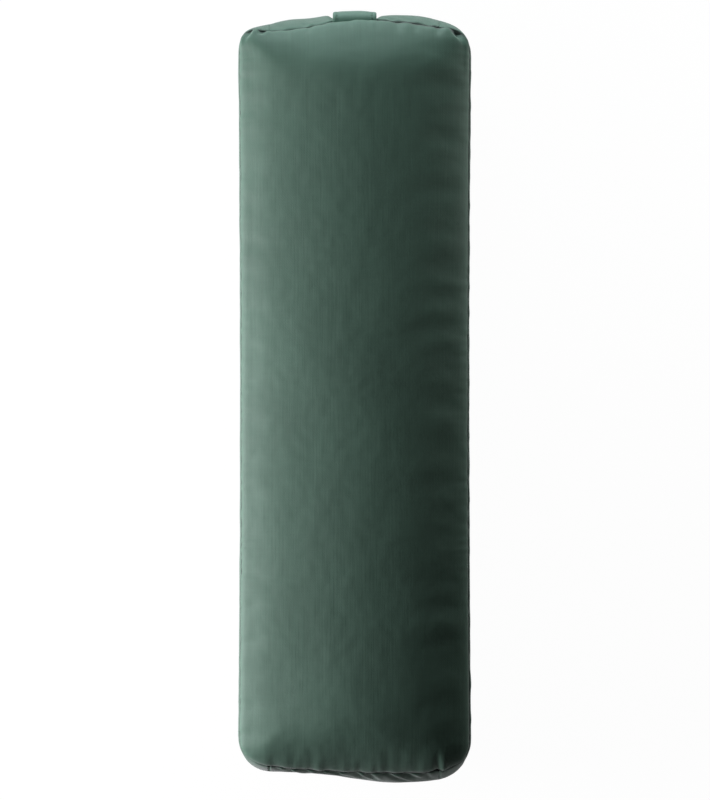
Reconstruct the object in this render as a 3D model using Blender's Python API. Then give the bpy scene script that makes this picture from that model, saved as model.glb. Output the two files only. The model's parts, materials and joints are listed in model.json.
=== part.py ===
"""Yoga bolster: a long boxed cushion lying on its back panel.

Two crowned panels are joined by boxing bands. One long side opens with a zip set in a
shallow valley, one end carries a sewn strap handle, and inside the cover lie a liner bag,
a wadding sleeve and a block of foam. Z is up, Y runs along the bolster towards the handle,
and the origin is under the middle of the whole part, on the floor.
"""
import math

import bpy
import bmesh

# Sizes, in metres
SEAM_HALF_LENGTH = 0.341  # middle of the body to the end seam, at the middle of the end
SEAM_HALF_WIDTH = 0.1035  # middle of the body to the side seam, at mid length
CORNER_RADIUS = 0.028  # seam corners in plan
WAIST = 0.002  # how much further out the side seams stand near the ends
HANDLE_END_BOW = 0.008  # how far the end seam bows out between its corners
PLAIN_END_BOW = 0.005
BAND_HEIGHT = 0.095  # between the two seams
FACE_CROWN = 0.030  # rise of the top panel above its seam
BACK_CROWN = 0.025  # drop of the back panel below its seam
BACK_SINK = 0.0035  # how much of the back's roundness is pressed flat by the floor
SIDE_BULGE = 0.0025  # how far the side bands stand out past the seams
END_BULGE = 0.012  # the same at the ends
CLOTH = 0.001  # cover fabric
LINER = 0.0008  # liner fabric
ALLOWANCE = 0.010  # seam allowance, turned inwards
GAP = 0.0003  # clearance between pieces that touch

STRAP_WIDTH = 0.040
STRAP_THICK = 0.0027
STRAP_WALL = 0.0006  # fabric sleeve of the strap
STRAP_TAIL = 0.0095  # sewn into the seams at both ends
STRAP_DIMPLE = 0.0045  # how far the strap holds the end band in
FINGER_GAP = 0.0062  # between the strap and the band under it

ZIP_RECESS = 0.002  # folded band edges inside the side seam line
ZIP_OPENING = 0.014  # between the folded edges
ZIP_MARGIN = 0.053  # from the end seam to the end of the valley
ZIP_BLEND = 0.016  # length over which the valley runs out
HEM = 0.009  # band edge folded back behind itself
HEM_SLOT = 0.0004  # between the band and its folded edge
TAPE_WIDTH = 0.012
TAPE_THICK = 0.0006
TOOTH_PITCH = 0.0040
TOOTH_LENGTH = 0.0017  # along the chain
TOOTH_THICK = 0.0024  # through the chain
TOOTH_BITE = 0.0012  # how far a tooth reaches past the middle
ROW_HALF_WIDTH = 0.0029  # middle of the chain to the back of its teeth
CHAIN_MARGIN = 0.018  # from the end of the valley to the end of the chain
SLIDER_LENGTH = 0.0150
SLIDER_PLATE = 0.0012
SLIDER_RAIL = 0.0011
SLIDER_NOSE_HALF = 0.0060
SLIDER_RUN = 0.00035  # running clearance round the chain
BAIL_THICK = 0.0012
BAIL_RISE = 0.0028
BAIL_SPAN = 0.0090
TAB_LENGTH = 0.0240
TAB_HALF_WIDTH = 0.0033
TAB_BAR = 0.0012

FOAM_SIDE_MARGIN = 0.0235  # from the side seam to the foam
FOAM_END_MARGIN = 0.041  # from the end seam to the foam
FOAM_UNDER = 0.017  # from the floor to the foam
FOAM_OVER = 0.021  # from the foam to the top of the bolster
FOAM_ROUND = 0.012
WADDING_OVERHANG = 0.003  # wadding past the foam's ends

# Heights and places that follow from the sizes
LOW_SEAM = BACK_CROWN
HIGH_SEAM = LOW_SEAM + BAND_HEIGHT
MIDDLE = (LOW_SEAM + HIGH_SEAM) / 2
STRAP_FACE = END_BULGE - STRAP_DIMPLE + FINGER_GAP  # inside of the strap, past the end seam
HANDLE_PROUD = STRAP_FACE + STRAP_THICK - END_BULGE
SHIFT_Y = -HANDLE_PROUD / 2  # puts the origin under the middle of the whole part
LINER_INSET = ALLOWANCE + GAP  # the liner passes inside the seam allowances
ZIP_REACH = SEAM_HALF_LENGTH - ZIP_MARGIN  # half length of the valley
CHAIN_HALF_LENGTH = ZIP_REACH - CHAIN_MARGIN
FOAM_HALF_WIDTH = SEAM_HALF_WIDTH - FOAM_SIDE_MARGIN
FOAM_HALF_LENGTH = SEAM_HALF_LENGTH - FOAM_END_MARGIN
FOAM_TOP = HIGH_SEAM + FACE_CROWN - FOAM_OVER
WADDING_HALF_LENGTH = FOAM_HALF_LENGTH + WADDING_OVERHANG
FOLD_X = SEAM_HALF_WIDTH - ZIP_RECESS
TAPE_X = FOLD_X - 2 * CLOTH - HEM_SLOT - GAP - TAPE_THICK / 2
EDGE_REACH = 0.020  # strip along the seams where sections run square to the seam
INNER_STEPS = (0.24, 0.43, 0.62)  # rings of the panels between the middle and that strip
RIDGE = SEAM_HALF_LENGTH - SEAM_HALF_WIDTH  # half length of the crown's level ridge
STRAP_DROP = HIGH_SEAM - GAP / 2 - STRAP_THICK / 2  # height of the strap's middle in the seam


def colour(text):
    """Linear colour of an sRGB hex value."""
    parts = [int(text[i : i + 2], 16) / 255 for i in (0, 2, 4)]
    return [c / 12.92 if c <= 0.04045 else ((c + 0.055) / 1.055) ** 2.4 for c in parts] + [1.0]


def material(name, text, roughness, metallic):
    mat = bpy.data.materials.new(name)
    mat.use_nodes = True
    shader = mat.node_tree.nodes["Principled BSDF"]
    shader.inputs["Base Color"].default_value = colour(text)
    shader.inputs["Roughness"].default_value = roughness
    shader.inputs["Metallic"].default_value = metallic
    return mat


def solid(name, verts, faces, look, at=(0.0, 0.0, 0.0)):
    """A named object from points and faces in world space, with its origin at a given point."""
    mesh = bpy.data.meshes.new(name)
    bm = bmesh.new()
    points = [bm.verts.new((v[0] - at[0], v[1] - at[1], v[2] - at[2])) for v in verts]
    for face in faces:
        bm.faces.new([points[i] for i in face])
    bmesh.ops.recalc_face_normals(bm, faces=bm.faces)
    bm.to_mesh(mesh)
    bm.free()
    obj = bpy.data.objects.new(name, mesh)
    obj.location = at
    obj.data.materials.append(material(name, *look))
    bpy.context.scene.collection.objects.link(obj)
    return obj


def offset(line, step):
    """A line of (a, b) points moved sideways by step, to the left of its direction, with mitred corners."""
    moved = []
    for i, here in enumerate(line):
        sides = []
        for p, q in ((i - 1, i), (i, i + 1)):
            if 0 <= p and q < len(line):
                da, db = line[q][0] - line[p][0], line[q][1] - line[p][1]
                size = math.hypot(da, db)
                sides.append((-db / size, da / size))
        if len(sides) == 1:
            sides.append(sides[0])
        sa, sb = sides[0][0] + sides[1][0], sides[0][1] + sides[1][1]
        scale = 2 / (sa * sa + sb * sb)
        moved.append((here[0] + step * sa * scale, here[1] + step * sb * scale))
    return moved


def base_line():
    """The seam line as a rounded rectangle, clockwise from the middle of the handle end."""
    flat = SEAM_HALF_WIDTH - CORNER_RADIUS
    half = STRAP_WIDTH / 2
    straight = SEAM_HALF_LENGTH - CORNER_RADIUS
    quarter = [(0.0, SEAM_HALF_LENGTH)]
    quarter += [(half + (flat - half) * t, SEAM_HALF_LENGTH) for t in (0.0, 0.16, 0.34, 0.65)]
    for k in range(6):
        turn = math.radians(90 - 18 * k)
        x = flat + CORNER_RADIUS * math.cos(turn)
        quarter.append((x, straight + CORNER_RADIUS * math.sin(turn)))
    quarter += [(SEAM_HALF_WIDTH, y) for y in (ZIP_REACH + ZIP_BLEND, ZIP_REACH)]
    quarter += [(SEAM_HALF_WIDTH, ZIP_REACH * t) for t in (0.75, 0.5, 0.25)]
    lower = [(x, -y) for x, y in reversed(quarter)]
    right = quarter + [(SEAM_HALF_WIDTH, 0.0)] + lower
    return right + [(-x, y) for x, y in reversed(right[1:-1])]


def seam_line():
    """Stations round the seam: place, outward direction, and how far the band bulges there."""
    line = []
    for x, y in base_line():
        along = min(1.0, abs(y) / SEAM_HALF_LENGTH)
        across = abs(x) / SEAM_HALF_WIDTH
        bow = HANDLE_END_BOW if y > 0 else PLAIN_END_BOW
        drop = bow * across**2 * along**6
        line.append(
            (x + math.copysign(WAIST * along**2 * across, x), y - math.copysign(drop, y))
        )
    stations = []
    for i, (x, y) in enumerate(line):
        ax, ay = line[i - 1]
        bx, by = line[(i + 1) % len(line)]
        size = math.hypot(bx - ax, by - ay)
        nx, ny = -(by - ay) / size, (bx - ax) / size
        if abs(x) < 1e-9:
            nx, ny = 0.0, math.copysign(1.0, y)
        across = min(1.0, abs(x) / SEAM_HALF_WIDTH)
        end = END_BULGE * (1 - 0.6 * across**3)
        bulge = SIDE_BULGE + (end - SIDE_BULGE) * ny * ny
        if y > SEAM_HALF_LENGTH / 2:
            away = (abs(x) - STRAP_WIDTH / 2 - 0.003) / 0.022
            near = 1 - min(1.0, max(0.0, away))
            bulge -= STRAP_DIMPLE * near * near * (3 - 2 * near)
        stations.append({"x": x, "y": y, "nx": nx, "ny": ny, "bulge": bulge})
    return stations


LINE = seam_line()
COUNT = len(LINE)


def place(station, inward, z):
    """A point at a depth inside the seam line, square to it."""
    x = station["x"] - inward * station["nx"]
    y = station["y"] - inward * station["ny"]
    return (x, y + SHIFT_Y, z)


def towards(station, share, z):
    """A point part of the way from the crown's ridge to the seam line."""
    ridge = max(-RIDGE, min(RIDGE, station["y"]))
    return (station["x"] * share, ridge + (station["y"] - ridge) * share + SHIFT_Y, z)


def crown(share):
    """Height of a filled panel, 1 at its level middle and 0 at its seam."""
    flat = (1 - INNER_STEPS[0] ** 2.6) ** 0.68
    return min(1.0, max(0.0, 1 - share**2.6) ** 0.68 / flat)


def panel_height(share, rise, sink):
    """Rise of the panel over its seam; the back is pressed flat where it rests."""
    return min(rise, (rise + sink) * crown(share))


def edge_share(inward):
    return 1 - inward / SEAM_HALF_WIDTH


def rings_solid(name, rings, look):
    """Closed solid from rings of points, first and last closed across the bolster's middle."""
    verts = [p for ring in rings for p in ring]
    faces = []
    for r in range(len(rings) - 1):
        for i in range(COUNT):
            j = (i + 1) % COUNT
            a, b = r * COUNT, (r + 1) * COUNT
            faces.append((a + i, a + j, b + j, b + i))
    for base in (0, (len(rings) - 1) * COUNT):
        half = COUNT // 2
        faces.append((base, base + 1, base + COUNT - 1))
        for i in range(1, half - 1):
            faces.append((base + i, base + i + 1, base + COUNT - i - 1, base + COUNT - i))
        faces.append((base + half - 1, base + half, base + half + 1))
    return solid(name, verts, faces, look)


def bowl(name, profile, surface, thick, up, look, steps=INNER_STEPS):
    """A panel or half bag: rings over its middle, then a profile down to its edge.

    profile gives the (inward, z) outer line of a station, surface the outer height of a
    share of the way out, and up is 1 for a piece that faces up and -1 for one facing down.
    """
    outer = [profile(s) for s in LINE]
    inner = [offset(line, thick * up) for line in outer]
    rings = [[towards(s, t, surface(t)) for s in LINE] for t in steps]
    for k in range(len(outer[0])):
        rings.append([place(s, *outer[i][k]) for i, s in enumerate(LINE)])
    for k in reversed(range(len(outer[0]))):
        rings.append([place(s, *inner[i][k]) for i, s in enumerate(LINE)])
    for t in reversed(steps):
        rings.append([towards(s, t, surface(t) - up * thick) for s in LINE])
    return rings_solid(name, rings, look)


def sections_solid(name, sections, look, at=(0.0, 0.0, 0.0)):
    """Closed solid through a row of like sections, capped at both ends."""
    size = len(sections[0])
    verts = [p for section in sections for p in section]
    faces = [tuple(range(size)), tuple(range((len(sections) - 1) * size, len(verts)))]
    for r in range(len(sections) - 1):
        for k in range(size):
            m = (k + 1) % size
            a, b = r * size, (r + 1) * size
            faces.append((a + k, a + m, b + m, b + k))
    return solid(name, verts, faces, look, at)


def tube_solid(name, outer, inner, look):
    """Closed solid between two rows of like sections, open through its middle."""
    size, rows = len(outer[0]), len(outer)
    verts = [p for section in outer + inner for p in section]
    shift = size * rows
    faces = []
    for k in range(size):
        m = (k + 1) % size
        for r in range(rows - 1):
            a, b = r * size, (r + 1) * size
            faces.append((a + k, a + m, b + m, b + k))
            faces.append((shift + a + m, shift + a + k, shift + b + k, shift + b + m))
        last = (rows - 1) * size
        faces.append((k, shift + k, shift + m, m))
        faces.append((last + m, shift + last + m, shift + last + k, last + k))
    return solid(name, verts, faces, look)


def block(name, lines, axis, low, high, look, at=(0.0, 0.0, 0.0)):
    """Outlines extruded along an axis; each outline is its own body in the object."""
    verts, faces = [], []
    for outline in lines:
        base, size = len(verts), len(outline)
        for level in (low, high):
            for a, b in outline:
                point = {"x": (level, a, b), "y": (a, level, b), "z": (a, b, level)}[axis]
                verts.append(point)
        faces.append(tuple(base + k for k in range(size)))
        faces.append(tuple(base + size + k for k in range(size)))
        for k in range(size):
            m = (k + 1) % size
            faces.append((base + k, base + m, base + size + m, base + size + k))
    return solid(name, verts, faces, look, at)


def cut(target, name, centre, half):
    """Cut a box out of a piece."""
    x, y, z = half
    corners = [(sx * x, sy * y, sz * z) for sx in (-1, 1) for sy in (-1, 1) for sz in (-1, 1)]
    faces = [(0, 1, 3, 2), (4, 6, 7, 5), (0, 4, 5, 1), (2, 3, 7, 6), (0, 2, 6, 4), (1, 5, 7, 3)]
    cutter = solid(name, corners, faces, ("808080", 0.5, 0.0))
    cutter.location = centre
    cutter.hide_render = True
    cutter.display_type = "WIRE"
    tool = target.modifiers.new(name, "BOOLEAN")
    tool.operation = "DIFFERENCE"
    tool.solver = "EXACT"
    tool.object = cutter


def join(target, name, lines, axis, low, high):
    """Join an extruded outline to a piece as one body."""
    extra = block(name, lines, axis, low, high, ("808080", 0.5, 0.0))
    extra.hide_render = True
    extra.display_type = "WIRE"
    tool = target.modifiers.new(name, "BOOLEAN")
    tool.operation = "UNION"
    tool.solver = "EXACT"
    tool.object = extra


# Looks: sRGB colour, roughness, metallic
COVER = ("47665A", 0.82, 0.0)
STRAP = ("4A695D", 0.8, 0.0)
WEBBING = ("3C4A44", 0.85, 0.0)
TAPE = ("34483F", 0.85, 0.0)
TEETH = ("2F423A", 0.45, 0.0)
METAL = ("8C9390", 0.35, 1.0)
BAG = ("E4E1D8", 0.9, 0.0)
WADDING = ("F1EFEA", 0.95, 0.0)
FOAM = ("D9D3BE", 0.95, 0.0)

for old in list(bpy.data.objects):
    bpy.data.objects.remove(old, do_unlink=True)


# Face and back panels: a crown, the seam edge, and the allowance turned inwards
def face_profile(station):
    z = HIGH_SEAM + GAP / 2
    line = []
    for inward in (EDGE_REACH, 0.0105, 0.0050, 0.0018):
        line.append((inward, z + (FACE_CROWN - GAP / 2) * crown(edge_share(inward))))
    return line + [(0.0, z), (ALLOWANCE, z)]


def back_profile(station):
    z = LOW_SEAM - GAP / 2
    line = []
    for inward in (EDGE_REACH, 0.0105, 0.0050, 0.0018):
        line.append((inward, z - panel_height(edge_share(inward), BACK_CROWN - GAP / 2, BACK_SINK)))
    return line + [(0.0, z), (ALLOWANCE, z)]


def face_surface(share):
    return HIGH_SEAM + GAP / 2 + (FACE_CROWN - GAP / 2) * crown(share)


def back_surface(share):
    return LOW_SEAM - GAP / 2 - panel_height(share, BACK_CROWN - GAP / 2, BACK_SINK)


bowl("face_panel", face_profile, face_surface, CLOTH, 1, COVER)
bowl("back_panel", back_profile, back_surface, CLOTH, -1, COVER)


# Boxing bands: the wall between the seams and an allowance turned in along each edge
def wall(station, level):
    """Depth of a full band's wall; level is 1 at the top seam and -1 at the bottom one."""
    return -station["bulge"] * (1 - abs(level) ** 2.3)


def height(level):
    return MIDDLE + level * (BAND_HEIGHT / 2 - GAP / 2)


def closed_section(line, thick):
    return line + offset(line, thick)[::-1]


def full_band(station):
    line = [(ALLOWANCE, height(1))]
    for level in (1, 0.9, 0.74, 0.52, 0.24, -0.24, -0.52, -0.74, -0.9, -1):
        line.append((wall(station, level), height(level)))
    line.append((ALLOWANCE, height(-1)))
    return closed_section(line, CLOTH)


def band(name, stations, section):
    rows = [[place(s, *p) for p in section(s)] for s in stations]
    return sections_solid(name, rows, COVER)


def between(first, second, gap):
    """A station on the line from one to another, a small gap short of the second."""
    size = math.hypot(second["x"] - first["x"], second["y"] - first["y"])
    t = 1 - gap / size
    mixed = {k: first[k] + (second[k] - first[k]) * t for k in first}
    size = math.hypot(mixed["nx"], mixed["ny"])
    mixed["nx"], mixed["ny"] = mixed["nx"] / size, mixed["ny"] / size
    return mixed


END = 5  # the station where the corner begins, and with it the side band
HALF = COUNT // 2
right = LINE[END : HALF - END + 1]
left = LINE[HALF + END : COUNT - END + 1]
handle_end = LINE[COUNT - END :] + LINE[: END + 1]
plain_end = LINE[HALF - END : HALF + END + 1]


def trimmed(stations):
    """Bands meet at their upright seams with a small gap."""
    first = between(stations[1], stations[0], GAP / 2)
    last = between(stations[-2], stations[-1], GAP / 2)
    return [first] + stations[1:-1] + [last]


band("side_band_left", trimmed(left), full_band)
end_handle = band("end_band_handle", trimmed(handle_end), full_band)
band("end_band_plain", trimmed(plain_end), full_band)


# Zip side: two strips with their edges folded back beside the zip
def valley(station):
    """1 along the zip, 0 past its ends."""
    away = (abs(station["y"]) - ZIP_REACH) / ZIP_BLEND
    return 1 - min(1.0, max(0.0, away))


def zip_strip(side):
    def section(station):
        run = valley(station)
        half = BAND_HEIGHT / 2 - GAP / 2
        edge = GAP / 2 + (ZIP_OPENING / 2 - GAP / 2) * run
        top = wall(station, 0)
        sunk = station["x"] - FOLD_X
        fold = top + (sunk - top) * run
        behind = fold + 2 * CLOTH + HEM_SLOT
        line = [(ALLOWANCE, half)]
        for level in (1, 0.88, 0.66, 0.42):
            line.append((wall(station, level), half * level))
        line.append((wall(station, 0.27) * (1 - run) + (fold - 0.0018) * run, edge + 0.0060))
        line.append((fold, edge))
        line.append((behind, edge))
        line.append((behind, edge + HEM))
        flipped = [(d, MIDDLE + side * (z)) for d, z in line]
        return closed_section(flipped, CLOTH * side)

    return section


band("side_band_zip_upper", trimmed(right), zip_strip(1))
band("side_band_zip_lower", trimmed(right), zip_strip(-1))

# Strap handle: a fabric sleeve round a webbing core, sewn into both end seams
strap_x = (-STRAP_WIDTH / 2, 0.0, STRAP_WIDTH / 2)
inset = STRAP_FACE + STRAP_THICK / 2


def strap_line():
    """Middle of the strap from the top seam to mid height: distance past the seam, height."""
    radius = 0.0090
    shoulder = 0.0060
    line = [(-STRAP_TAIL, STRAP_DROP), (0.0, STRAP_DROP)]
    middle = inset - radius - 0.0012
    line.append((middle * 0.6, STRAP_DROP - 0.0002))
    for k in range(5):
        turn = math.radians(8 + 18.5 * k)
        a = middle + radius * math.sin(turn)
        line.append((a, STRAP_DROP - 0.0004 - (radius + shoulder) * (1 - math.cos(turn))))
    line.append((inset - 0.0003, MIDDLE + 0.018))
    line.append((inset, MIDDLE))
    return line


def strap_sections(half_width, thick, tail):
    upper = strap_line()
    upper[0] = (-tail, upper[0][1])
    line = upper + [(a, 2 * MIDDLE - z) for a, z in reversed(upper[:-1])]
    outer, inner = offset(line, thick / 2), offset(line, -thick / 2)
    sections = []
    for top, bottom in zip(outer, inner):
        ring = []
        for x, (a, z) in [(-half_width, top), (0.0, top), (half_width, top)] + [
            (half_width, bottom),
            (0.0, bottom),
            (-half_width, bottom),
        ]:
            bow = HANDLE_END_BOW * (x / SEAM_HALF_WIDTH) ** 2
            ring.append((x, SEAM_HALF_LENGTH - bow + a + SHIFT_Y, z))
        sections.append(ring)
    return sections


strap_half = STRAP_WIDTH / 2
void_thick = STRAP_THICK - 2 * STRAP_WALL
tube_solid(
    "carry_handle",
    strap_sections(strap_half, STRAP_THICK, STRAP_TAIL),
    strap_sections(strap_half - STRAP_WALL, void_thick, STRAP_TAIL),
    STRAP,
)
core_half = strap_half - STRAP_WALL - GAP
core_thick = void_thick - 2 * GAP
sections_solid(
    "handle_webbing", strap_sections(core_half, core_thick, STRAP_TAIL - GAP), WEBBING
)
for tag, sign in (("top", 1), ("bottom", -1)):
    notch = STRAP_THICK + 2 * GAP
    rise = MIDDLE + sign * (STRAP_DROP - MIDDLE)
    seat_y = SEAM_HALF_LENGTH + SHIFT_Y
    cut(
        end_handle,
        "strap_slot_" + tag,
        (0.0, seat_y - 0.004, rise),
        (strap_half + GAP, 0.009, notch / 2),
    )

# Zip: tapes, toothed rows, stops, slider and pull tab
MID_Y = SHIFT_Y
tape_half = TAPE_THICK / 2
tape_edge = ROW_HALF_WIDTH + GAP
tape_reach = ZIP_REACH + ZIP_BLEND / 2
for tag, side in (("upper", 1), ("lower", -1)):
    outline = []
    for end in (-1, 1):
        steps = [(tape_reach, GAP / 2), (CHAIN_HALF_LENGTH + 0.010, GAP / 2)]
        steps.append((CHAIN_HALF_LENGTH + 0.0055, tape_edge))
        line = [(MID_Y + end * y, MIDDLE + side * z) for y, z in steps]
        outline += line if end < 0 else line[::-1]
    back = MIDDLE + side * (tape_edge + TAPE_WIDTH)
    outline += [(MID_Y + tape_reach, back), (MID_Y - tape_reach, back)]
    block("zip_tape_" + tag, [outline], "x", TAPE_X - tape_half, TAPE_X + tape_half, TAPE)

slider_y = MID_Y - CHAIN_HALF_LENGTH + SLIDER_LENGTH / 2
chain_start = slider_y + 0.0008
chain_end = MID_Y + CHAIN_HALF_LENGTH
tooth_count = int((chain_end - chain_start - TOOTH_LENGTH) / TOOTH_PITCH)
bead = ROW_HALF_WIDTH - TOOTH_BITE - GAP


def toothed_row(side, shift):
    """A bead with teeth that reach past the middle, as one outline in y and z."""
    back = MIDDLE + side * ROW_HALF_WIDTH
    front = MIDDLE + side * (ROW_HALF_WIDTH - bead)
    tip = MIDDLE - side * TOOTH_BITE
    line = [(chain_start, back), (chain_start, front)]
    for k in range(tooth_count):
        y = chain_start + shift + k * TOOTH_PITCH
        line += [(y, front), (y, tip), (y + TOOTH_LENGTH, tip), (y + TOOTH_LENGTH, front)]
    line += [(chain_end, front), (chain_end, back)]
    return line


for tag, side, shift in (("upper", 1, 0.0002), ("lower", -1, 0.0002 + TOOTH_PITCH / 2)):
    outline = toothed_row(side, shift)
    low, high = TAPE_X - TOOTH_THICK / 2, TAPE_X + TOOTH_THICK / 2
    block("zip_teeth_" + tag, [outline], "x", low, high, TEETH)

# Stops: a clip on each tape past the slider's closed end, and one box over both rows
clip_in, clip_out = tape_edge - GAP, tape_edge + 0.0022
stop_half = TOOTH_THICK / 2 + 0.0002


def clip(side, middle):
    """U-shaped clip round the edge of a tape, or with middle set an H across both tapes."""
    slot = tape_half + GAP
    outer = [(-stop_half, clip_out), (-slot, clip_out), (-slot, clip_in), (slot, clip_in)]
    outer += [(slot, clip_out), (stop_half, clip_out)]
    near = -clip_in if middle else clip_in - 0.0012
    if middle:
        line = outer + [(x, -z) for x, z in reversed(outer)]
    else:
        line = outer + [(stop_half, near), (-stop_half, near)]
    return [(TAPE_X + x, MIDDLE + side * z) for x, z in line]


stop_y = slider_y - SLIDER_LENGTH / 2 - GAP
for tag, side in (("upper", 1), ("lower", -1)):
    block("zip_top_stop_" + tag, [clip(side, False)], "y", stop_y - 0.0030, stop_y, METAL)
box_y = chain_end + GAP
block("zip_bottom_stop", [clip(1, True)], "y", box_y, box_y + 0.0040, METAL)

# Slider: two plates joined by a wedge at the nose, rails along the chain, and a bail
channel = TOOTH_THICK / 2 + SLIDER_RUN
rail_in = ROW_HALF_WIDTH + SLIDER_RUN
tail_half = rail_in + SLIDER_RAIL
nose_y = slider_y - SLIDER_LENGTH / 2
tail_y = slider_y + SLIDER_LENGTH / 2


def plate_outline():
    shoulder = slider_y - SLIDER_LENGTH * 0.08
    right_side = [(nose_y, SLIDER_NOSE_HALF * 0.72), (nose_y + 0.0022, SLIDER_NOSE_HALF)]
    right_side += [(shoulder - 0.002, SLIDER_NOSE_HALF), (shoulder + 0.002, tail_half)]
    right_side += [(tail_y, tail_half)]
    loop = right_side + [(y, -z) for y, z in reversed(right_side)]
    return [(y, MIDDLE + z) for y, z in loop]


plate_out = TAPE_X + channel + SLIDER_PLATE
slider = block(
    "zip_slider", [plate_outline()], "x", TAPE_X + channel, plate_out, METAL, (TAPE_X, slider_y, MIDDLE)
)
inside = TAPE_X - channel
join(slider, "slider_inner_plate", [plate_outline()], "x", inside - SLIDER_PLATE, inside)
wedge_back = chain_start - GAP
wedge = [(nose_y + 0.0008, -0.0018), (nose_y + 0.0008, 0.0018), (wedge_back, 0.0004), (wedge_back, -0.0004)]
wedge = [(y, MIDDLE + z) for y, z in wedge]
bite = 0.0004
join(slider, "slider_wedge", [wedge], "x", inside - bite, TAPE_X + channel + bite)
rail_reach = channel - tape_half - GAP - 0.0001
for tag, side in (("upper", 1), ("lower", -1)):
    shoulder = slider_y + SLIDER_LENGTH * 0.08
    end, face = tail_y - 0.0002, tail_half - 0.0002
    rail = [(shoulder, rail_in), (end, rail_in), (end, face), (shoulder, face)]
    rail = [(y, MIDDLE + side * z) for y, z in rail]
    high = TAPE_X + channel
    join(slider, "rail_out_" + tag, [rail], "x", high - rail_reach, high + bite)
    join(slider, "rail_in_" + tag, [rail], "x", inside - bite, inside + rail_reach)
span = BAIL_SPAN / 2
post = BAIL_THICK
rise = plate_out + BAIL_RISE
bail = [(-span, plate_out - bite), (-span, rise), (-span + 0.0008, rise + post)]
bail += [(span - 0.0008, rise + post), (span, rise), (span, plate_out - bite)]
bail += [(span - post, plate_out - bite), (span - post, rise), (-span + post, rise)]
bail += [(-span + post, plate_out - bite)]
bail_half = BAIL_THICK / 2
bail_solid = [(x, slider_y + y) for y, x in bail]
join(slider, "slider_bail", [bail_solid], "z", MIDDLE - bail_half, MIDDLE + bail_half)

# Pull tab: an eye whose round end bar lies under the bail, and a flat tapering grip
axis_x = plate_out + BAIL_RISE / 2
bar = TAB_BAR / 2
eye_half = bail_half + 0.0005
eye_far = math.hypot(span, BAIL_RISE / 2 + post) + 0.0005
frame_out = eye_half + TAB_BAR
tab_end = slider_y + TAB_LENGTH
ring = [(slider_y - bar, eye_half), (slider_y - bar, frame_out)]
grip = [
    (slider_y - bar, -frame_out),
    (slider_y - bar, frame_out),
    (slider_y + eye_far, frame_out),
    (slider_y + eye_far + 0.003, TAB_HALF_WIDTH),
    (tab_end - 0.002, TAB_HALF_WIDTH * 0.85),
    (tab_end, TAB_HALF_WIDTH * 0.5),
    (tab_end, -TAB_HALF_WIDTH * 0.5),
    (tab_end - 0.002, -TAB_HALF_WIDTH * 0.85),
    (slider_y + eye_far + 0.003, -TAB_HALF_WIDTH),
    (slider_y + eye_far, -frame_out),
]
grip = [(y, MIDDLE + z) for y, z in grip]
tab = block(
    "zip_pull_tab", [grip], "x", axis_x - bar, axis_x + bar, METAL, (axis_x, slider_y, MIDDLE)
)
eye_middle = slider_y + (bar + eye_far) / 2
cut(
    tab,
    "tab_eye",
    (axis_x, eye_middle, MIDDLE),
    (TAB_BAR, (eye_far - bar) / 2, eye_half),
)


# Liner bag: two halves with a lapped seam at mid height
def liner_side(station, level):
    """Depth of the bag's outer face between the seams, inside the bands and the zip."""
    if station["x"] > SEAM_HALF_WIDTH - CORNER_RADIUS:
        behind = TAPE_X - channel - SLIDER_PLATE - SLIDER_RUN
        hard = station["x"] - behind
        full = min(LINER_INSET, max(hard, 0.0055))
        share = 1 - abs(station["ny"]) ** 3
        free = wall(station, 0.24) + CLOTH + 2 * GAP
        full = full * share + (free + 0.004) * (1 - share)
    else:
        full = wall(station, 0.24) + CLOTH + 2 * GAP
    return full + (LINER_INSET - full) * abs(level) ** 2.0


cover_clear = CLOTH + 0.0006
lap = 0.008
pinch = max(CLOTH, STRAP_THICK) + 2 * GAP  # the bag is held in beside the allowances
step_in = LINER + GAP


def liner_upper(station):
    line = []
    for inward in (EDGE_REACH, LINER_INSET + 0.003):
        line.append((inward, face_surface(edge_share(inward)) - cover_clear * 1.35))
    top = face_surface(edge_share(LINER_INSET)) - cover_clear * 1.9
    line.append((LINER_INSET, top))
    line.append((LINER_INSET, HIGH_SEAM - pinch))
    line.append((liner_side(station, 0.5), MIDDLE + BAND_HEIGHT / 4))
    line.append((liner_side(station, 0), MIDDLE + lap / 2 + 0.0012))
    line.append((liner_side(station, 0), MIDDLE - lap / 2))
    return line


def liner_lower(station):
    line = []
    for inward in (EDGE_REACH, LINER_INSET + 0.003):
        line.append((inward, back_surface(edge_share(inward)) + cover_clear * 1.35))
    low = back_surface(edge_share(LINER_INSET)) + cover_clear * 1.9
    line.append((LINER_INSET, low))
    line.append((LINER_INSET, LOW_SEAM + pinch))
    line.append((liner_side(station, 0.5), MIDDLE - BAND_HEIGHT / 4))
    line.append((liner_side(station, 0) + step_in, MIDDLE - lap / 2 - 0.0008))
    line.append((liner_side(station, 0) + step_in, MIDDLE + lap / 2))
    return line


def liner_top(share):
    return face_surface(share) - CLOTH - GAP - 0.0004 * share


def liner_bottom(share):
    return back_surface(share) + CLOTH + GAP + 0.0004 * share


bowl("inner_liner_upper", liner_upper, liner_top, LINER, 1, BAG, (0.3, 0.62))
bowl("inner_liner_lower", liner_lower, liner_bottom, LINER, -1, BAG, (0.3, 0.62))

# Wadding sleeve round the foam, open at both ends, and the foam block
wad_half = SEAM_HALF_WIDTH - LINER_INSET - LINER - GAP - 0.0002


def share_at(x, y):
    """How far out a point lies between the crown's ridge and the seam."""
    past = max(0.0, abs(y) - RIDGE)
    room = SEAM_HALF_LENGTH - HANDLE_END_BOW - RIDGE
    return min(0.999, ((abs(x) / SEAM_HALF_WIDTH) ** 6 + (past / room) ** 6) ** (1 / 6))


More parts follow.
